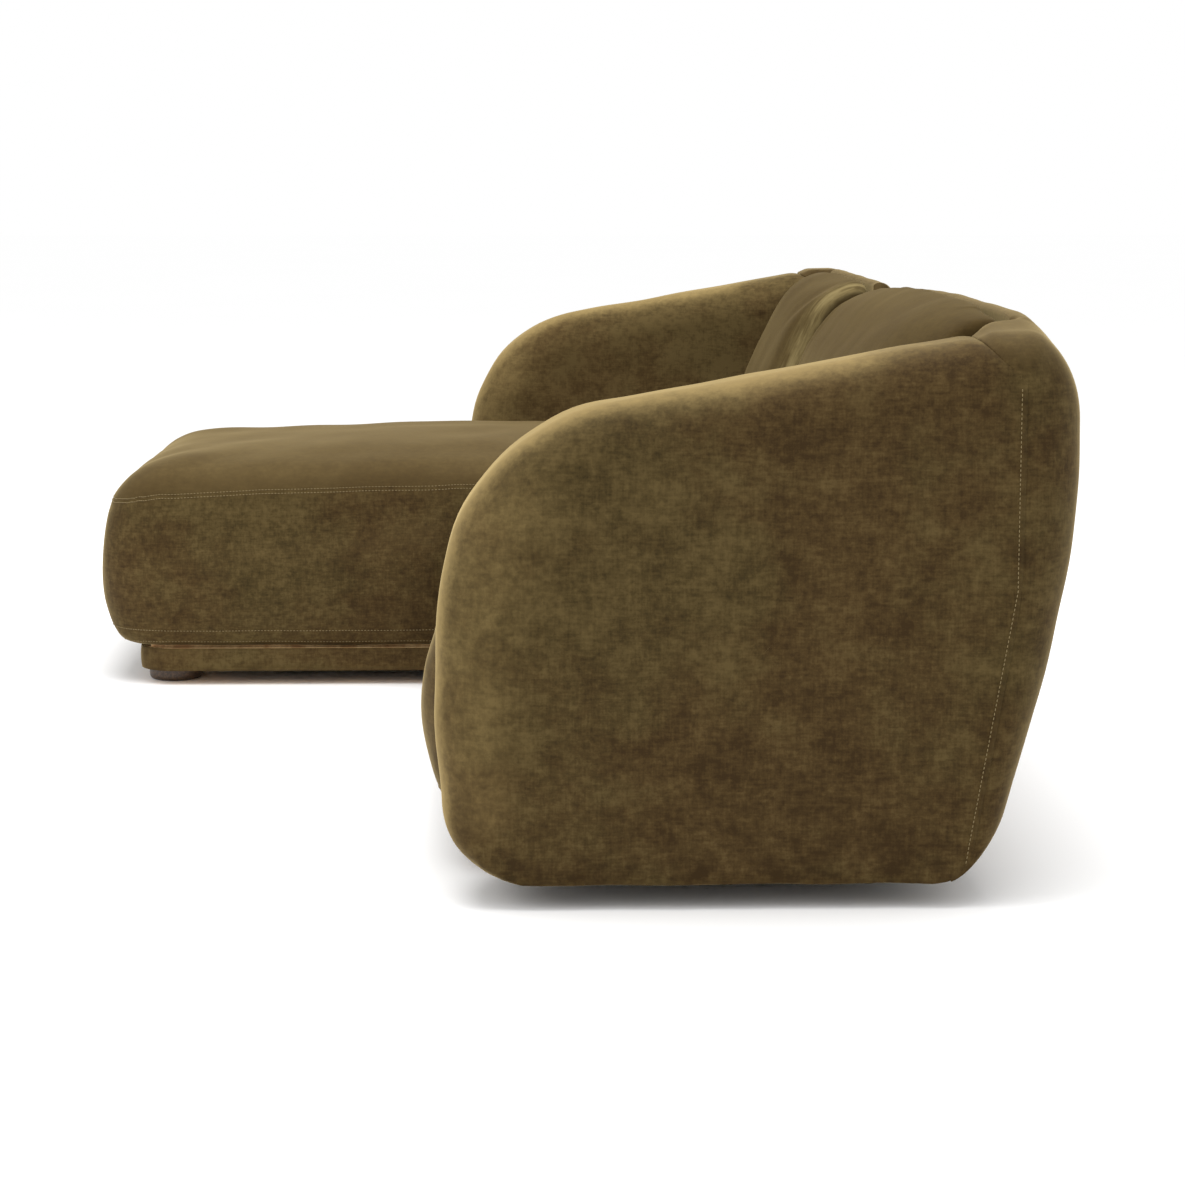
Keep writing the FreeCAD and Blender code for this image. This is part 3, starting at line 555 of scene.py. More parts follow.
# a shaded copy of the velvet: less sheen and specular, so the back cushions render darker as painted
# shade
shadedVelvetMat = velvet("shaded velvet copy", velvetLook["backSheen"], velvetLook["backSpecular"])
threadMat = thread()
timberMat = sawnTimber("sawn timber", srgb(206, 172, 122), srgb(166, 124, 78), 0.8)
plywoodMat = sawnTimber("plywood", srgb(222, 194, 150), srgb(190, 156, 108), 2.5)
footMat = footFinish()
steelMat = platedSteel()
webbingMat = wovenBand("elastic webbing", srgb(92, 84, 72), srgb(38, 34, 30), 260.0)
dustMat = wovenBand("dust cloth", srgb(44, 44, 46), srgb(16, 16, 17), 400.0)
print("materials made")

# Seats

seatSize = {
    "tuckFront": 0.052, "tuckSide": 0.012,
    "bulgeZ": 0.264, "topZ": 0.449, "crown": 0.010,
    "rollFront": 0.108,
    "rollSide": 0.095, "rollSideHeight": 0.083,
    "rollArm": 0.046, "rollArmHeight": 0.040,
    "frontProud": 0.010, "frontFall": 0.017, "fallLength": 0.75,
    "corner": 0.095, "cornerOpening": 0.6,
    "rearY": 0.4406, "rearCorner": 0.012,
    "skin": 0.006, "armSkinShare": 0.3,
    "seamZ": 0.363, "seamRise": 0.025, "seamLength": 0.70, "seamWidth": 0.010, "pinch": 0.3,
    "hemHeld": (0.082, 0.112), "rearHeld": (0.05, 0.01), "armHeld": (0.05, 0.012),
    "splitHeld": (0.012, 0.05), "besideY": (-0.14, -0.09),
    "voxel": 0.014, "swellCap": 0.011, "smoothing": 8,
    "creaseDepth": 0.0011, "creaseScale": 0.16,
    "topPaintedSheen": 0.2, "paintedSheenTurn": (0.45, 0.9), "calmTurn": (0.1, 0.5),
    "tuckRings": 14, "rollRings": 22, "capRings": (8, 12), "loopSteps": (10, 26),
}


def seatLoop(module, height, frontIn, tuck, skin):
    # outline of the seat at a height: rolls are quarter ellipses near the top edge
    size = seatSize

    def rolledIn(roll, depth):
        share = np.clip((height - (size["topZ"] - depth)) / depth, 0, 1)
        return roll * (1 - np.sqrt(1 - share * share))

    start = sofa["gap"]
    end = armFace(module) - sofa["clearance"]
    split = tuck + rolledIn(size["rollSide"], size["rollSideHeight"]) + skin
    arm = tuck + rolledIn(size["rollArm"], size["rollArmHeight"]) + size["armSkinShare"] * skin
    radius = size["corner"] + size["cornerOpening"] * frontIn
    corners = [(start, module["front"], radius), (end, module["front"], radius),
               (end, size["rearY"], size["rearCorner"]), (start, size["rearY"], size["rearCorner"])]
    flat = arcLoop(corners, [frontIn - size["frontProud"], arm, 0.0, split], *size["loopSteps"])
    return np.column_stack([acrossX(module, flat[:, 0]), flat[:, 1], np.full(len(flat), height)])


def seatSeam(module, y):
    # height of the top edge's seam: it climbs from the front corner by a quarter sine
    share = np.clip((y - module["front"]) / seatSize["seamLength"], 0, 1)
    return seatSize["seamZ"] + seatSize["seamRise"] * np.sin(np.pi / 2 * share)


def seatPad(name, module):
    # level outlines: tucked in at the hem, widest at bulgeZ, rolled over into the crowned top
    size = seatSize
    skin = size["skin"]
    rings = []
    for angle in np.linspace(0, np.pi / 2, size["tuckRings"]):
        height = size["bulgeZ"] - (size["bulgeZ"] - sofa["baseZ"]) * np.cos(angle)
        drawn = 1 - np.sin(angle)
        tuckFront, tuckSide = size["tuckFront"] * drawn, size["tuckSide"] * drawn
        rings.append(seatLoop(module, height, tuckFront, tuckSide, skin))
    for angle in np.linspace(np.pi / 2, 0, size["rollRings"])[1:]:
        height = size["bulgeZ"] + (size["topZ"] - size["bulgeZ"]) * np.cos(angle)
        ring = seatLoop(module, height, size["rollFront"] * (1 - np.sin(angle)), 0.0, skin)
        ring[:, 2] -= skin * np.cos(angle)
        rings.append(ring)
    piece = skinMesh(name + "_seat_pad", rings, (0, 0, 1), size["crown"], *size["capRings"])
    remeshed(piece, size["voxel"])
    points = readPoints(piece)
    ahead = 1 - easeStep(module["front"], module["front"] + size["fallLength"], points[:, 1])
    points[:, 2] -= size["frontFall"] * ahead * easeStep(size["bulgeZ"], size["topZ"], points[:, 2])
    writePoints(piece, points)
    u = (points[:, 0] - sofa["splitX"]) * module["sign"]
    fromSeam = points[:, 2] - seatSeam(module, points[:, 1])
    seam = np.exp(-(fromSeam / size["seamWidth"]) ** 2)
    hem = 1 - easeStep(*size["hemHeld"], points[:, 2])
    rear = nearing(size["rearY"], size["rearHeld"], points[:, 1])
    armSide = nearing(armFace(module), size["armHeld"], u)
    splitSide = (1 - easeStep(*size["splitHeld"], u)) * easeStep(*size["besideY"], points[:, 1])
    held = np.clip(np.max([hem, rear, armSide], 0), 0, 1)
    free = (1 - hem) * (1 - rear) * (1 - armSide) * (1 - splitSide) * (1 - size["pinch"] * seam)
    swell(piece, held, free, size["swellCap"])
    smoothed(piece, size["smoothing"])
    crease(piece, module["seed"], size["creaseDepth"], size["creaseScale"])
    up = readNormals(piece)[:, 2]
    # upward faces paler as a painted sheen highlight, and a calmer pile on top
    pileAndPaintedLight(piece, size["topPaintedSheen"] * easeStep(*size["paintedSheenTurn"], up), easeStep(*size["calmTurn"], up))
    subdivided(piece)
    return piece


seats = {}
for name, module in sofa["modules"].items():
    seats[name] = place(seatPad(name, module), name, velvetMat,
                        [name + "_seat_cover", name + "_seat_foam"])
print("seats made")

# Back cushions

backSize = {
    "footY": 0.441, "footRadius": 0.300,
    "deckZ": 0.2364, "deckRadius": 0.001,
    "seatZ": 0.450,
    "splitGap": 0.001, "armGap": 0.0006,
    "peakY": 0.594, "peakZ": 0.822, "peakDrop": 1.4, "peakRadius": 0.190,
    "seamTopZ": 0.802, "seamRadius": 0.008,
    "crownFront": 0.037, "crownTop": 0.014, "crownLength": 0.340,
    "endTop": 0.5, "domeLength": 1.00,
    "skin": 0.006,
    "rearHeld": (0.045, 0.010), "lowHeld": (0.43, 0.50),
    "armHeld": (0.03, 0.008), "splitHeld": (0.006, 0.03),
    "voxel": 0.013, "swellCap": 0.012, "smoothing": 8,
    "creaseDepth": 0.0007, "creaseScale": 0.16,
    "stripeAt": 0.03, "stripeWidth": 0.024, "stripeFoot": (0.45, 0.55),
    "calm": 0.9, "lay": -0.3,
    "gapShade": 1.4, "gapShadeEdge": (0.006, 0.016),
    "endRings": 16, "runRings": 24, "crownRings": 14, "capRings": (10, 10),
    "loopSteps": (12, 16),
}


def backLoop(module, u, frontIn, topIn):
    # outline of the cushion: upright behind, leaning in front, rolled over the top
    size = backSize
    skin = size["skin"]
    gap = sofa["clearance"]
    corners = [
        (size["footY"], size["deckZ"], size["deckRadius"]),
        (seamY(size["deckZ"]) - gap, size["deckZ"], size["deckRadius"]),
        (seamY(sofa["seamZ"]) - gap, sofa["seamZ"], sofa["bowRadius"]),
        (sofa["seamTopY"] - gap, size["seamTopZ"] - module["backDrop"], size["seamRadius"]),
        (size["peakY"], size["peakZ"] - size["peakDrop"] * module["backDrop"], size["peakRadius"]),
        (size["footY"], size["seatZ"], size["footRadius"]),
    ]
    insets = [0, 0, 0, topIn + skin, frontIn + skin, frontIn + skin]
    flat = arcLoop(corners, insets, *size["loopSteps"])
    return np.column_stack([np.full(len(flat), acrossX(module, u)), flat])


def backDome(module, u):
    # how far the back falls away towards the split: a long parabola
    share = np.clip(1 - (u - sofa["gap"]) / backSize["domeLength"], 0, 1)
    return module["dome"] * share * share


def backDraw(module, u):
    # how far front and top are drawn in near the split: the dome and a quarter ellipse at the end
    along = u - sofa["gap"] - backSize["splitGap"]
    share = np.clip(1 - along / module["endLength"], 0, 1)
    roll = module["endRoll"] * (1 - np.sqrt(1 - share * share))
    return backDome(module, u) + np.array([1, backSize["endTop"]]) * roll


def backCushion(name, module):
    # outlines along X: drawn in towards the split, and by a parabola towards the arm
    size = backSize
    start = sofa["gap"] + size["splitGap"]
    end = armFace(module) - size["armGap"]
    splitEnd = start + module["endLength"] * (1 - np.cos(np.linspace(0, np.pi / 2, size["endRings"])))
    run = np.linspace(start + module["endLength"], end - size["crownLength"], size["runRings"])[1:-1]
    rings = [backLoop(module, u, *backDraw(module, u)) for u in np.concatenate([splitEnd, run])]
    crown = np.array([size["crownFront"], size["crownTop"]])
    for share in np.linspace(0, 1, size["crownRings"]):
        u = end - size["crownLength"] * (1 - share)
        rings.append(backLoop(module, u, *(backDraw(module, u) + crown * share * share)))
    way = (module["sign"], 0, 0)
    piece = skinMesh(name + "_back_cushion", rings, way, 0.0, *size["capRings"])
    remeshed(piece, size["voxel"])
    points = readPoints(piece)
    u = (points[:, 0] - sofa["splitX"]) * module["sign"]
    rear = nearing(0, size["rearHeld"], points[:, 1] - seamY(points[:, 2]))
    low = 1 - easeStep(*size["lowHeld"], points[:, 2])
    armSide = nearing(end, size["armHeld"], u)
    splitSide = 1 - easeStep(*size["splitHeld"], u)
    held = np.clip(np.max([rear, low, armSide], 0), 0, 1)
    free = (1 - rear) * (1 - low) * (1 - armSide) * (1 - splitSide)
    swell(piece, held, free, size["swellCap"])
    smoothed(piece, size["smoothing"])
    crease(piece, module["seed"] + 1, size["creaseDepth"], size["creaseScale"])
    # painted highlight: a streak on the chaise cushion's rolled split end, where it catches the light
    stripe = np.exp(-((u - size["stripeAt"]) / size["stripeWidth"]) ** 2)
    stripe *= module["brushedAndPaintedHighlight"] * easeStep(*size["stripeFoot"], points[:, 2])
    # painted shade: darker at the split end, in the gap between the cushions; the whole cushion is
    # darker by its tone
    gapShade = 1 - easeStep(*size["gapShadeEdge"], u)
    pileAndPaintedLight(piece, 0.0, size["calm"], stripe * (1 - gapShade), size["lay"] - size["gapShade"] * gapShade)
    subdivided(piece)
    return piece


for name, module in sofa["modules"].items():
    place(backCushion(name, module), name, shadedVelvetMat,
          [name + "_back_cover", name + "_back_foam"])
print("back cushions made")

# Arms

armSize = {
    "bottomZ": 0.030, "hem": 0.006,
    "gather": 0.0028, "gatherScale": 0.045, "gatherShade": 0.55,
    "gatherZ": 0.050, "gatherReach": 0.022,
    "setback": 0.012,
    "toeBack": 0.015, "toeRadius": 0.114,
    "bulgeZ": 0.300, "lean": 0.028,
    "frontZ": 0.640, "frontRadius": 0.279,
    "rearZ": 0.775, "rearRadius": 0.070, "leastRadius": 0.006,
    "heelRadius": 0.060,
    "roll": 0.072, "crownOut": 0.007,
    "frontPaintedSheen": 0.36, "frontPower": 7, "frontTurn": (0.35, 0.8),
    "innerLighter": 0.40, "innerTurn": (0.3, 0.9),
    "paintedSheenTurn": (0.04, 0.8), "paintedSheenFacing": (0.1, 0.5), "paintedSheenFoot": (0.04, 0.14),
    "paintedSheenLoss": 0.75, "paintedSheenEnd": (0.30, 0.07),
    "creaseDepth": 0.0012, "creaseScale": 0.13, "creaseEnd": (0.06, 0.014),
    "rollRings": 20, "capRings": (24, 30), "loopSteps": (22, 26),
}


def armLoop(x, inset, lower):
    # outline of the arm: bowed front, sloping top, a rounded toe and heel
    size = armSize
    gap = sofa["clearance"]
    front = sofa["modules"]["loveseat"]["front"] + size["setback"]
    corners = [
        (front + size["toeBack"], size["bottomZ"], size["toeRadius"]),
        (seamY(size["bottomZ"]) - gap, size["bottomZ"], size["heelRadius"]),
        (seamY(sofa["seamZ"]) - gap, sofa["seamZ"], sofa["bowRadius"]),
        (sofa["seamTopY"] - gap, size["rearZ"], size["rearRadius"]),
        (front + size["lean"], size["frontZ"], size["frontRadius"]),
        (front, size["bulgeZ"], sofa["bowRadius"]),
    ]
    flat = arcLoop(corners, [lower, 0, 0, inset, inset, inset], *size["loopSteps"])
    return np.column_stack([np.full(len(flat), x), flat])


def armPad(name, module):
    # outlines along X: a quarter circle of roll at each face, a slightly crowned outer face,
    # and gathers as ripples times a bell curve above the hem
    size = armSize
    rolling = np.linspace(0, np.pi / 2, size["rollRings"])
    rings = []
    for face, way, angles in ((armFace(module), 1, rolling), (module["width"], -1, rolling[::-1])):
        for angle in angles:
            share = 1 - np.sin(angle)
            x = acrossX(module, face + way * size["roll"] * (1 - np.cos(angle)))
            rings.append(armLoop(x, size["roll"] * share, size["hem"] * share))
    way = (module["sign"], 0, 0)
    piece = skinMesh(name + "_arm_pad", rings, way, size["crownOut"], *size["capRings"])
    points = readPoints(piece)
    awayFromSeam = 1 - nearing(0, size["creaseEnd"], points[:, 1] - seamY(points[:, 2]))
    crease(piece, module["seed"] + 2, size["creaseDepth"], size["creaseScale"], awayFromSeam)
    points = readPoints(piece)
    normals = readNormals(piece)
    across, back, up = normals.T
    nearHem = np.exp(-((points[:, 2] - size["gatherZ"]) / size["gatherReach"]) ** 2) * np.abs(across)
    gathers = nearHem * ripples(points, module["seed"] + 5, size["gatherScale"])
    writePoints(piece, points + normals * (size["gather"] * gathers)[:, None])
    # painted sheen highlight: pale on rolls facing forward or up and on the front roll, fading
    # towards the rear seam and the floor
    turned = easeStep(*size["paintedSheenTurn"], 1 - np.abs(across))
    ahead = np.maximum(easeStep(*size["paintedSheenFacing"], -back), easeStep(*size["paintedSheenFacing"], up))
    inner, outer = [np.linspace(0, 1, steps + 1)[1:-1] for steps in size["capRings"]]
    closeness = np.concatenate([inner, np.ones(len(rings)), outer[::-1]]) ** size["frontPower"]
    edge = np.roll(rings[-1], -1, 0) - np.roll(rings[-1], 1, 0)
    edge /= np.linalg.norm(edge, axis=1)[:, None]
    forward = easeStep(*size["frontTurn"], -edge[:, 2])
    near = np.concatenate([[0], np.outer(closeness, forward).ravel(), [0]])
    rim = np.maximum(turned * ahead, size["frontPaintedSheen"] * near)
    rim *= 1 - size["paintedSheenLoss"] * nearing(sofa["seamTopY"], size["paintedSheenEnd"], points[:, 1])
    rim *= easeStep(*size["paintedSheenFoot"], points[:, 2])
    inside = easeStep(*size["innerTurn"], -across * module["sign"])
    # tone: lighter on the inner faces, and painted shade darkening the gathers' dimples
    lay = size["innerLighter"] * inside - size["gatherShade"] * np.maximum(-gathers, 0)
    pileAndPaintedLight(piece, rim, lay=lay)
    return piece


arms = {}
for name, module in sofa["modules"].items():
    arms[name] = place(armPad(name, module), name, velvetMat,
                       [name + "_arm_cover", name + "_arm_foam"])
print("arms made")

# Outside backs

shellSize = {
    "footDepth": 0.676, "footRadius": 0.018,
    "waistY": 0.737, "waistZ": 0.290,
    "bulgeZ": 0.500,
    "rearZ": 0.7345, "rearRadius": 0.160,
    "topZ": 0.792,
    "crestY": 0.720, "crestRadius": 0.040, "crestBack": 0.006, "crestLift": 0.002,
    "browBack": 0.006, "browOnLip": 0.012, "browRadius": 0.030,
    "browDrop": 0.002, "browLift": 0.001,
    "shoulderBack": 0.004, "shoulderDrop": 0.006, "shoulderLift": 0.0025, "shoulderRadius": 0.012,
    "tipBack": 0.0003, "tipRadius": 0.002,
    "lipAngle": 80.0, "lipLength": 0.052,
    "lipSteps": ((0.5, 0.006, 0.0004, 0.06), (0.0, 0.016, 0.0002, 0.02)),
    "hemRadius": 0.001,
    "hemSteps": ((0.026, 0.0002, 78, 0.02), (0.013, 0.0004, 58, 0.03), (0.005, 0.0003, 38, 0.03)),
    "heelTurn": 20.0, "heelFoot": (0.675, 0.070), "heelRadius": 0.190,
    "corner": 0.110, "cornerTurn": 88.0, "inside": 0.0013,
    "splitLength": 0.030, "splitShare": 0.8,
    "fallStart": 0.055, "fallEnd": 0.045,
    "armRise": 0.0105, "armGap": 0.002, "blend": 0.030,
    "topPaintedSheen": 0.22, "paintedSheenTurn": (0.3, 0.9), "topCalm": 0.8, "calmTurn": (0.1, 0.6),
    "creaseDepth": 0.0006, "creaseScale": 0.15,
    "splitRings": 10, "runRings": (60, 8, 8), "cornerRings": 26, "capRings": (5, 3),
    "loopSteps": (14, 22),
}


def armHeel(inset):
    # radius and centre height of the arm's rear top corner, its outline drawn in by the inset
    size = armSize
    front = sofa["modules"]["loveseat"]["front"] + size["setback"] + size["lean"]
    slope = np.arctan2(size["rearZ"] - size["frontZ"], sofa["seamTopY"] - front)
    radius = max(size["rearRadius"] - inset, size["leastRadius"])
    return radius, size["rearZ"] - inset / np.cos(slope) - radius * np.tan(np.pi / 4 + slope / 2)


def heelPoint(turn):
    # a point of the arm's rounded lower rear corner, at an angle from its lowest point
    radius = armSize["heelRadius"]
    low = np.array([seamY(armSize["bottomZ"]) - radius * np.tan(seamLean() / 2), armSize["bottomZ"]])
    return low + radius * np.array([np.sin(turn), 1 - np.cos(turn)])


def heelMeet(turn):
    # where the tangent of that corner at an angle meets the sloping seam line
    reach = armSize["heelRadius"] * np.tan((seamLean() - turn) / 2)
    return heelPoint(turn) + reach * np.array([np.cos(turn), np.sin(turn)])


def rolledBy(distance):
    # how far the arm's roll draws its outline in at a distance from its face
    roll = armSize["roll"]
    share = np.clip(1 - distance / roll, 0, 1)
    return roll * (1 - np.sqrt(1 - share * share))


def shellLoop(module, u, share):
    # outline behind the seam, its depth scaled by share; over the arm a lip follows the arm's
    # rounded rear corner, in steps of (share of its angle, lower, behind, radius), and the hem
    # its heel, in steps of (rise, behind, angle, radius)
    size = shellSize
    inner = armFace(module)
    onArm = easeStep(inner, inner + size["blend"], u)
    onLip = easeStep(inner, inner + size["lipLength"], u)
    overArm = easeStep(inner - size["fallStart"], module["width"] - size["fallEnd"], u)
    outerDrop = rolledBy(module["width"] - u)
    radius, centreZ = armHeel(max(outerDrop, rolledBy(max(u - inner, 0))))
    angle = np.radians(size["lipAngle"]) * onLip
    backTop = size["topZ"] - module["backDrop"] - backDome(module, u)
    backTop += (sum(armHeel(outerDrop)) + size["armRise"] - backTop) * overArm
    rearZ = backTop - size["topZ"] + size["rearZ"]

    def behind(height, depth):
        return seamY(height) + (depth - seamY(height)) * share

    def onHeel(turn, lower, back):
        y = sofa["seamTopY"] + back - radius * (1 - np.cos(turn))
        return y, centreZ - lower + radius * np.sin(turn)

    def onHem(rise, back, turn):
        height = sofa["baseZ"] + rise
        plain = np.array([seamY(height) + back, height])
        return plain + (heelPoint(np.radians(turn)) + (sofa["clearance"], 0.0) - plain) * onArm

    bare = heelMeet(np.radians(size["heelTurn"]))
    foot = np.array([behind(sofa["baseZ"], size["footDepth"]), sofa["baseZ"]])
    foot += (bare + (np.array(size["heelFoot"]) - bare) * share - foot) * onArm
    heelRadius = armSize["heelRadius"] + (size["heelRadius"] - armSize["heelRadius"]) * share
    footRadius = size["footRadius"] * share * (1 - onArm) + heelRadius * onArm
    tip = onHeel(angle, 0.0, size["tipBack"])
    shoulderZ = backTop - size["shoulderDrop"]
    shoulderZ += (tip[1] + size["shoulderLift"] - shoulderZ) * onLip
    shoulderY = tip[0] + size["shoulderBack"] * share
    browY = shoulderY + (size["browBack"] + size["browOnLip"] * onLip) * share
    browZ = max(backTop - size["browDrop"], shoulderZ + size["browLift"])
    crestY = max(behind(backTop, size["crestY"]), browY + size["crestBack"] * share)
    corners = [
        (*onHem(0.0, 0.0, size["heelTurn"]), size["hemRadius"]),
        (*foot, footRadius),
        (behind(size["waistZ"], size["waistY"]), size["waistZ"], sofa["bowRadius"]),
        (behind(size["bulgeZ"], sofa["rearY"]), size["bulgeZ"], sofa["bowRadius"]),
        (behind(rearZ, sofa["rearY"]), rearZ, size["rearRadius"] * share),
        (crestY, browZ + size["crestLift"], size["crestRadius"] * share),
        (browY, browZ, size["browRadius"]),
        (shoulderY, shoulderZ, size["shoulderRadius"]),
        (*tip, size["tipRadius"]),
        *[(*onHeel(angle * part, *step), bend) for part, *step, bend in size["lipSteps"]],
        (sofa["seamTopY"], sofa["seamZ"], sofa["bowRadius"]),
        *[(*onHem(*step), bend) for *step, bend in size["hemSteps"]],
    ]
    flat = arcLoop(corners, [0.0] * len(corners), *size["loopSteps"])
    return np.column_stack([np.full(len(flat), acrossX(module, u)), flat])


def backShell(name, module):
    # outlines along X: a soft split end, a straight run, and a quarter ellipse round the rear corner
    size = shellSize
    rings = []
    for angle in np.linspace(0, np.pi / 2, size["splitRings"]):
        u = sofa["gap"] + size["splitLength"] * (1 - np.cos(angle))
        share = size["splitShare"] + (1 - size["splitShare"]) * np.sin(angle)
        rings.append(shellLoop(module, u, share))
    cornerStart = module["width"] - size["corner"]
    bends = [sofa["gap"] + size["splitLength"], armFace(module) - size["armGap"],
             armFace(module) + size["blend"], cornerStart]
    for start, end, count in zip(bends[:-1], bends[1:], size["runRings"]):
        for u in np.linspace(start, end, count + 1)[1:]:
            rings.append(shellLoop(module, u, 1.0))
    reach = size["corner"] - size["inside"]
    for angle in np.linspace(0, np.radians(size["cornerTurn"]), size["cornerRings"])[1:]:
        rings.append(shellLoop(module, cornerStart + reach * np.sin(angle), np.cos(angle)))
    way = (module["sign"], 0, 0)
    piece = skinMesh(name + "_back_shell", rings, way, 0.0, *size["capRings"])
    crease(piece, module["seed"] + 3, size["creaseDepth"], size["creaseScale"])
    up = readNormals(piece)[:, 2]
    # upward faces paler as a painted sheen highlight
    pileAndPaintedLight(piece, size["topPaintedSheen"] * easeStep(*size["paintedSheenTurn"], up),
            size["topCalm"] * easeStep(*size["calmTurn"], up))
    return piece


for name, module in sofa["modules"].items():
    place(backShell(name, module), name, velvetMat, [name + "_outside_back"])
print("outside backs made")

# Plinth bands and dust covers

bandSize = {"corner": 0.073, "inset": 0.0008, "thickness": 0.0028, "puff": 0.0016, "lay": 0.25,
            "rings": 9, "loopSteps": (14, 60)}


def plinthBand(name):
    # rounded rectangles at the heights of a thin upright profile that swells a little outside
    size = bandSize
    low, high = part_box(name + "_plinth_band")
    flat = [(low.x, low.y), (high.x, low.y), (high.x, high.y), (low.x, high.y)]
    corners = [(*point, size["corner"]) for point in flat]
    part = np.linspace(0, 1, size["rings"])
    outside = size["inset"] - size["puff"] * np.sin(np.pi * part)
    heights = low.z + (high.z - low.z) * part
    insets = np.concatenate([outside, np.full(size["rings"], size["thickness"])])
    levels = np.concatenate([heights, heights[::-1]])
    rings = []
    for inset, level in zip(insets, levels):
        flat = arcLoop(corners, [inset] * 4, *size["loopSteps"])
        rings.append(np.column_stack([flat, np.full(len(flat), level)]))
    piece = hoopMesh(name + "_plinth_wrap", rings)
    # tone shifted a little lighter all over
    pileAndPaintedLight(piece, lay=size["lay"])
    return piece


dustSize = {"sag": 0.007, "thickness": 0.0008, "columns": 60, "rows": 40}


def dustCover(name):
    # a stretched sheet that sags by sag * (1 - a^2)^2 * (1 - b^2)^2 between its stapled edges
    size = dustSize
    low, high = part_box(name + "_dust_cover")
    a, b = np.meshgrid(np.linspace(-1, 1, size["columns"]), np.linspace(-1, 1, size["rows"]))
    x = (low.x + high.x) / 2 + a * (high.x - low.x) / 2
    y = (low.y + high.y) / 2 + b * (high.y - low.y) / 2
    z = high.z - size["sag"] * (1 - a ** 2) ** 2 * (1 - b ** 2) ** 2
    index = np.arange(a.size).reshape(a.shape)
    corners = [index[:-1, :-1], index[1:, :-1], index[1:, 1:], index[:-1, 1:]]
    quads = np.stack(corners, 2).reshape(-1, 4)
    piece = newMesh(name + "_dust_sheet", np.stack([x, y, z], 2).reshape(-1, 3), quads.tolist())
    thick = piece.modifiers.new("thickness", "SOLIDIFY")
    thick.thickness = size["thickness"]
    thick.offset = 1.0
    applyModifiers(piece)
    return piece, (high.x - low.x, high.y - low.y)


for name in sofa["modules"]:
    place(plinthBand(name), name, velvetMat, [name + "_plinth_band"])
    sheet, cutSize = dustCover(name)
    place(sheet, name, dustMat, [name + "_dust_cover"])
    name + "_plinth"
print("plinth bands and dust covers made")

# Stitching

stitchSize = {"length": 0.0042, "pitch": 0.0062, "radius": 0.00075, "sides": 6,
              "rings": (-0.85, -0.3, 0.3, 0.85)}
stitchRows = {
    "top": (0.0, 0.0075), "topReach": 0.01,
    "level": {"low": 0.107, "hem": 0.0755},
    "rearGap": 0.015, "rearZ": (0.064, 0.70), "rearMarks": 60,
    "rearAhead": 0.008, "rearOut": 0.01, "rearLift": 0.0006,
}


def stitchMesh(name, points, normals):
    # one spindle for each step along the path: rings of radius r * sqrt(1 - a^2),
    # and a pole at each end
    size = stitchSize
    ways = np.gradient(points, axis=0)
    ways /= np.linalg.norm(ways, axis=1)[:, None]
    sideways = np.cross(ways, normals)
    sideways /= np.linalg.norm(sideways, axis=1)[:, None]
    up = np.cross(sideways, ways)
    a = np.array(size["rings"])
    b = np.arange(size["sides"]) * 2 * np.pi / size["sides"]
    girth = size["radius"] * np.sqrt(1 - a ** 2)
    alongWay = ways[:, None, None, :] * (size["length"] / 2 * a)[None, :, None, None]
    around = (sideways[:, None, None, :] * np.cos(b)[None, None, :, None]
              + up[:, None, None, :] * np.sin(b)[None, None, :, None]) * girth[None, :, None, None]
    rings = (points[:, None, None, :] + alongWay + around).reshape(len(points), -1, 3)
    ends = ways * (size["length"] / 2)
    verts = np.concatenate([(points - ends)[:, None], rings, (points + ends)[:, None]], 1)
    quads, fans = skinFaces(len(a), size["sides"])
    step = verts.shape[1] * np.arange(len(points))[:, None, None]
    faces = (quads[None] + step).reshape(-1, 4).tolist()
    faces += (fans[None] + step).reshape(-1, 3).tolist()
    return turnOutwards(newMesh(name, verts.reshape(-1, 3), faces))


def evenSteps(path, pitch):
    # points at equal distances along a path
    lengths = np.concatenate([[0], np.cumsum(np.linalg.norm(np.diff(path, axis=0), axis=1))])
    marks = np.arange(0, lengths[-1], pitch)
    return np.column_stack([np.interp(marks, lengths, path[:, axis]) for axis in range(3)])


def searchTree(piece):
    return BVHTree.FromObject(piece, bpy.context.evaluated_depsgraph_get())


def onSurface(tree, path, lift):
    # the nearest points of a finished piece, and its normals there
    hits = [tree.find_nearest(Vector(point)) for point in path.tolist()]
    points = np.array([hit[0][:] for hit in hits])
    normals = np.array([hit[1][:] for hit in hits])
    return points + normals * lift, normals


def seatPath(module, height, reach):
    # the seat's outline at a height, from the split side round the front to the arm side
    size = seatSize
    low = np.clip((size["bulgeZ"] - height) / (size["bulgeZ"] - sofa["baseZ"]), 0, 1)
    drawn = 1 - np.sqrt(1 - low * low)
    ring = seatLoop(module, height, size["tuckFront"] * drawn, size["tuckSide"] * drawn, -reach)
    front = ring[ring[:, 1] < size["rearY"] - stitchRows["rearGap"]]
    turn = np.arctan2(front[:, 0] - front[:, 0].mean(), size["rearY"] - front[:, 1])
    return front[np.argsort(turn)]


def sewAlong(body, kind, tree, path, rows=(0.0,), lift=0.0003):
    # rows of stitches at offsets along the piece's surface, across the path
    points, normals = onSurface(tree, evenSteps(path, stitchSize["pitch"]), 0.0)
    ways = np.gradient(points, axis=0)
    sideways = np.cross(normals, ways)
    sideways /= np.linalg.norm(sideways, axis=1)[:, None]
    for number, offset in enumerate(rows):
        moved, around = onSurface(tree, points + sideways * offset, lift)
        name = f"{body}_{kind}_stitches_{number + 1}"
        place(stitchMesh(name, moved, around), body, threadMat)


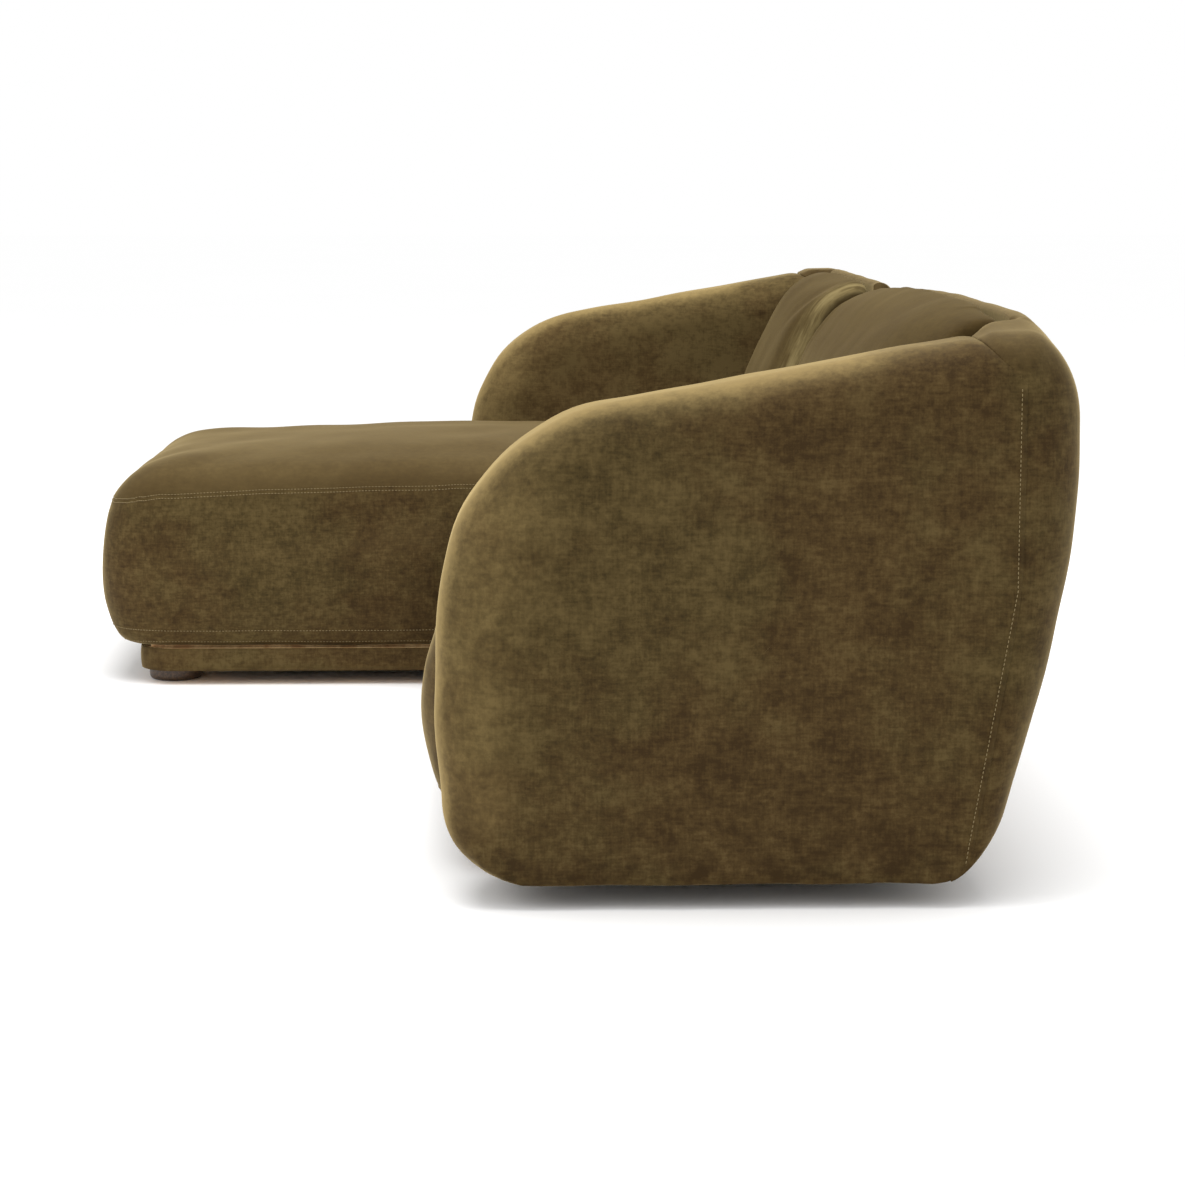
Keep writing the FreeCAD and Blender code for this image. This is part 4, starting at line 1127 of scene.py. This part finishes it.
for name, module in sofa["modules"].items():
    rows = stitchRows
    seatTree = searchTree(seats[name])
    topPath = seatPath(module, seatSize["seamZ"], rows["topReach"])
    topPath[:, 2] = seatSeam(module, topPath[:, 1])
    sewAlong(name, "top", seatTree, topPath, rows["top"])
    for kind, height in rows["level"].items():
        sewAlong(name, kind, seatTree, seatPath(module, height, 0.0))
    heights = np.linspace(*rows["rearZ"], rows["rearMarks"])
    outer = np.full(len(heights), acrossX(module, module["width"] + rows["rearOut"]))
    seam = np.column_stack([outer, seamY(heights) - rows["rearAhead"], heights])
    sewAlong(name, "rear", searchTree(arms[name]), seam, lift=rows["rearLift"])
print("stitching made")

# Finishes of the inner pieces and the feet

finishes = {"timber": timberMat, "plywood": plywoodMat, "webbing": webbingMat, "steel": steelMat,
            "foot": footMat, "velvet": velvetMat, "foam": webbingMat, "dust_cloth": dustMat}
for entry in frame["record"]["subparts"]:
    node = frame["nodes"][entry["node"]]
    node.data.materials.clear()
    node.data.materials.append(finishes[entry["material_slot"]])
print("finishes set")

# Floor, light and camera

stageSize = {
    "floor": 40.0,
    "world": 1.0,
    "lights": {
        "top light": {"position": (0.2, 0.0, 3.6), "target": (0.0, 0.0, 0.4),
                      "size": 3.5, "power": 150.0},
        "key light": {"position": (2.6, -3.0, 2.6), "target": (0.2, 0.0, 0.4),
                      "size": 2.2, "power": 25.0},
    },
}


def stageFloor():
    reach = stageSize["floor"]
    corners = [(-reach, -reach, 0), (reach, -reach, 0), (reach, reach, 0), (-reach, reach, 0)]
    floor = newMesh("stage_floor", corners, [(0, 1, 2, 3)])
    floor.data.materials.append(paleFloor())


def softLight(name, position, target, size, power):
    light = bpy.data.lights.new(name, "AREA")
    light.shape = "SQUARE"
    light.size = size
    light.energy = power
    lamp = bpy.data.objects.new(name, light)
    lamp.location = position
    way = Vector(target) - Vector(position)
    lamp.rotation_euler = way.to_track_quat("-Z", "Y").to_euler()
    scene.collection.objects.link(lamp)


cameraSize = {"position": (5.045, 0.029, 0.981), "way": (-0.98897, 0.02448, -0.14607), "lens": 86.58,
              "sensor": 36.0}


def photoCamera():
    camera = bpy.data.cameras.new("photo camera")
    camera.lens = cameraSize["lens"]
    camera.sensor_width = cameraSize["sensor"]
    holder = bpy.data.objects.new("photo camera", camera)
    holder.location = cameraSize["position"]
    holder.rotation_euler = Vector(cameraSize["way"]).to_track_quat("-Z", "Y").to_euler()
    scene.collection.objects.link(holder)
    scene.camera = holder


stageFloor()
for name, light in stageSize["lights"].items():
    softLight(name, **light)
world = bpy.data.worlds.new("studio")
world.use_nodes = True
backdrop = world.node_tree.nodes["Background"]
backdrop.inputs["Color"].default_value = (1.0, 1.0, 1.0, 1.0)
backdrop.inputs["Strength"].default_value = stageSize["world"]
scene.world = world
scene.view_settings.view_transform = "Standard"
photoCamera()
print("stage set")
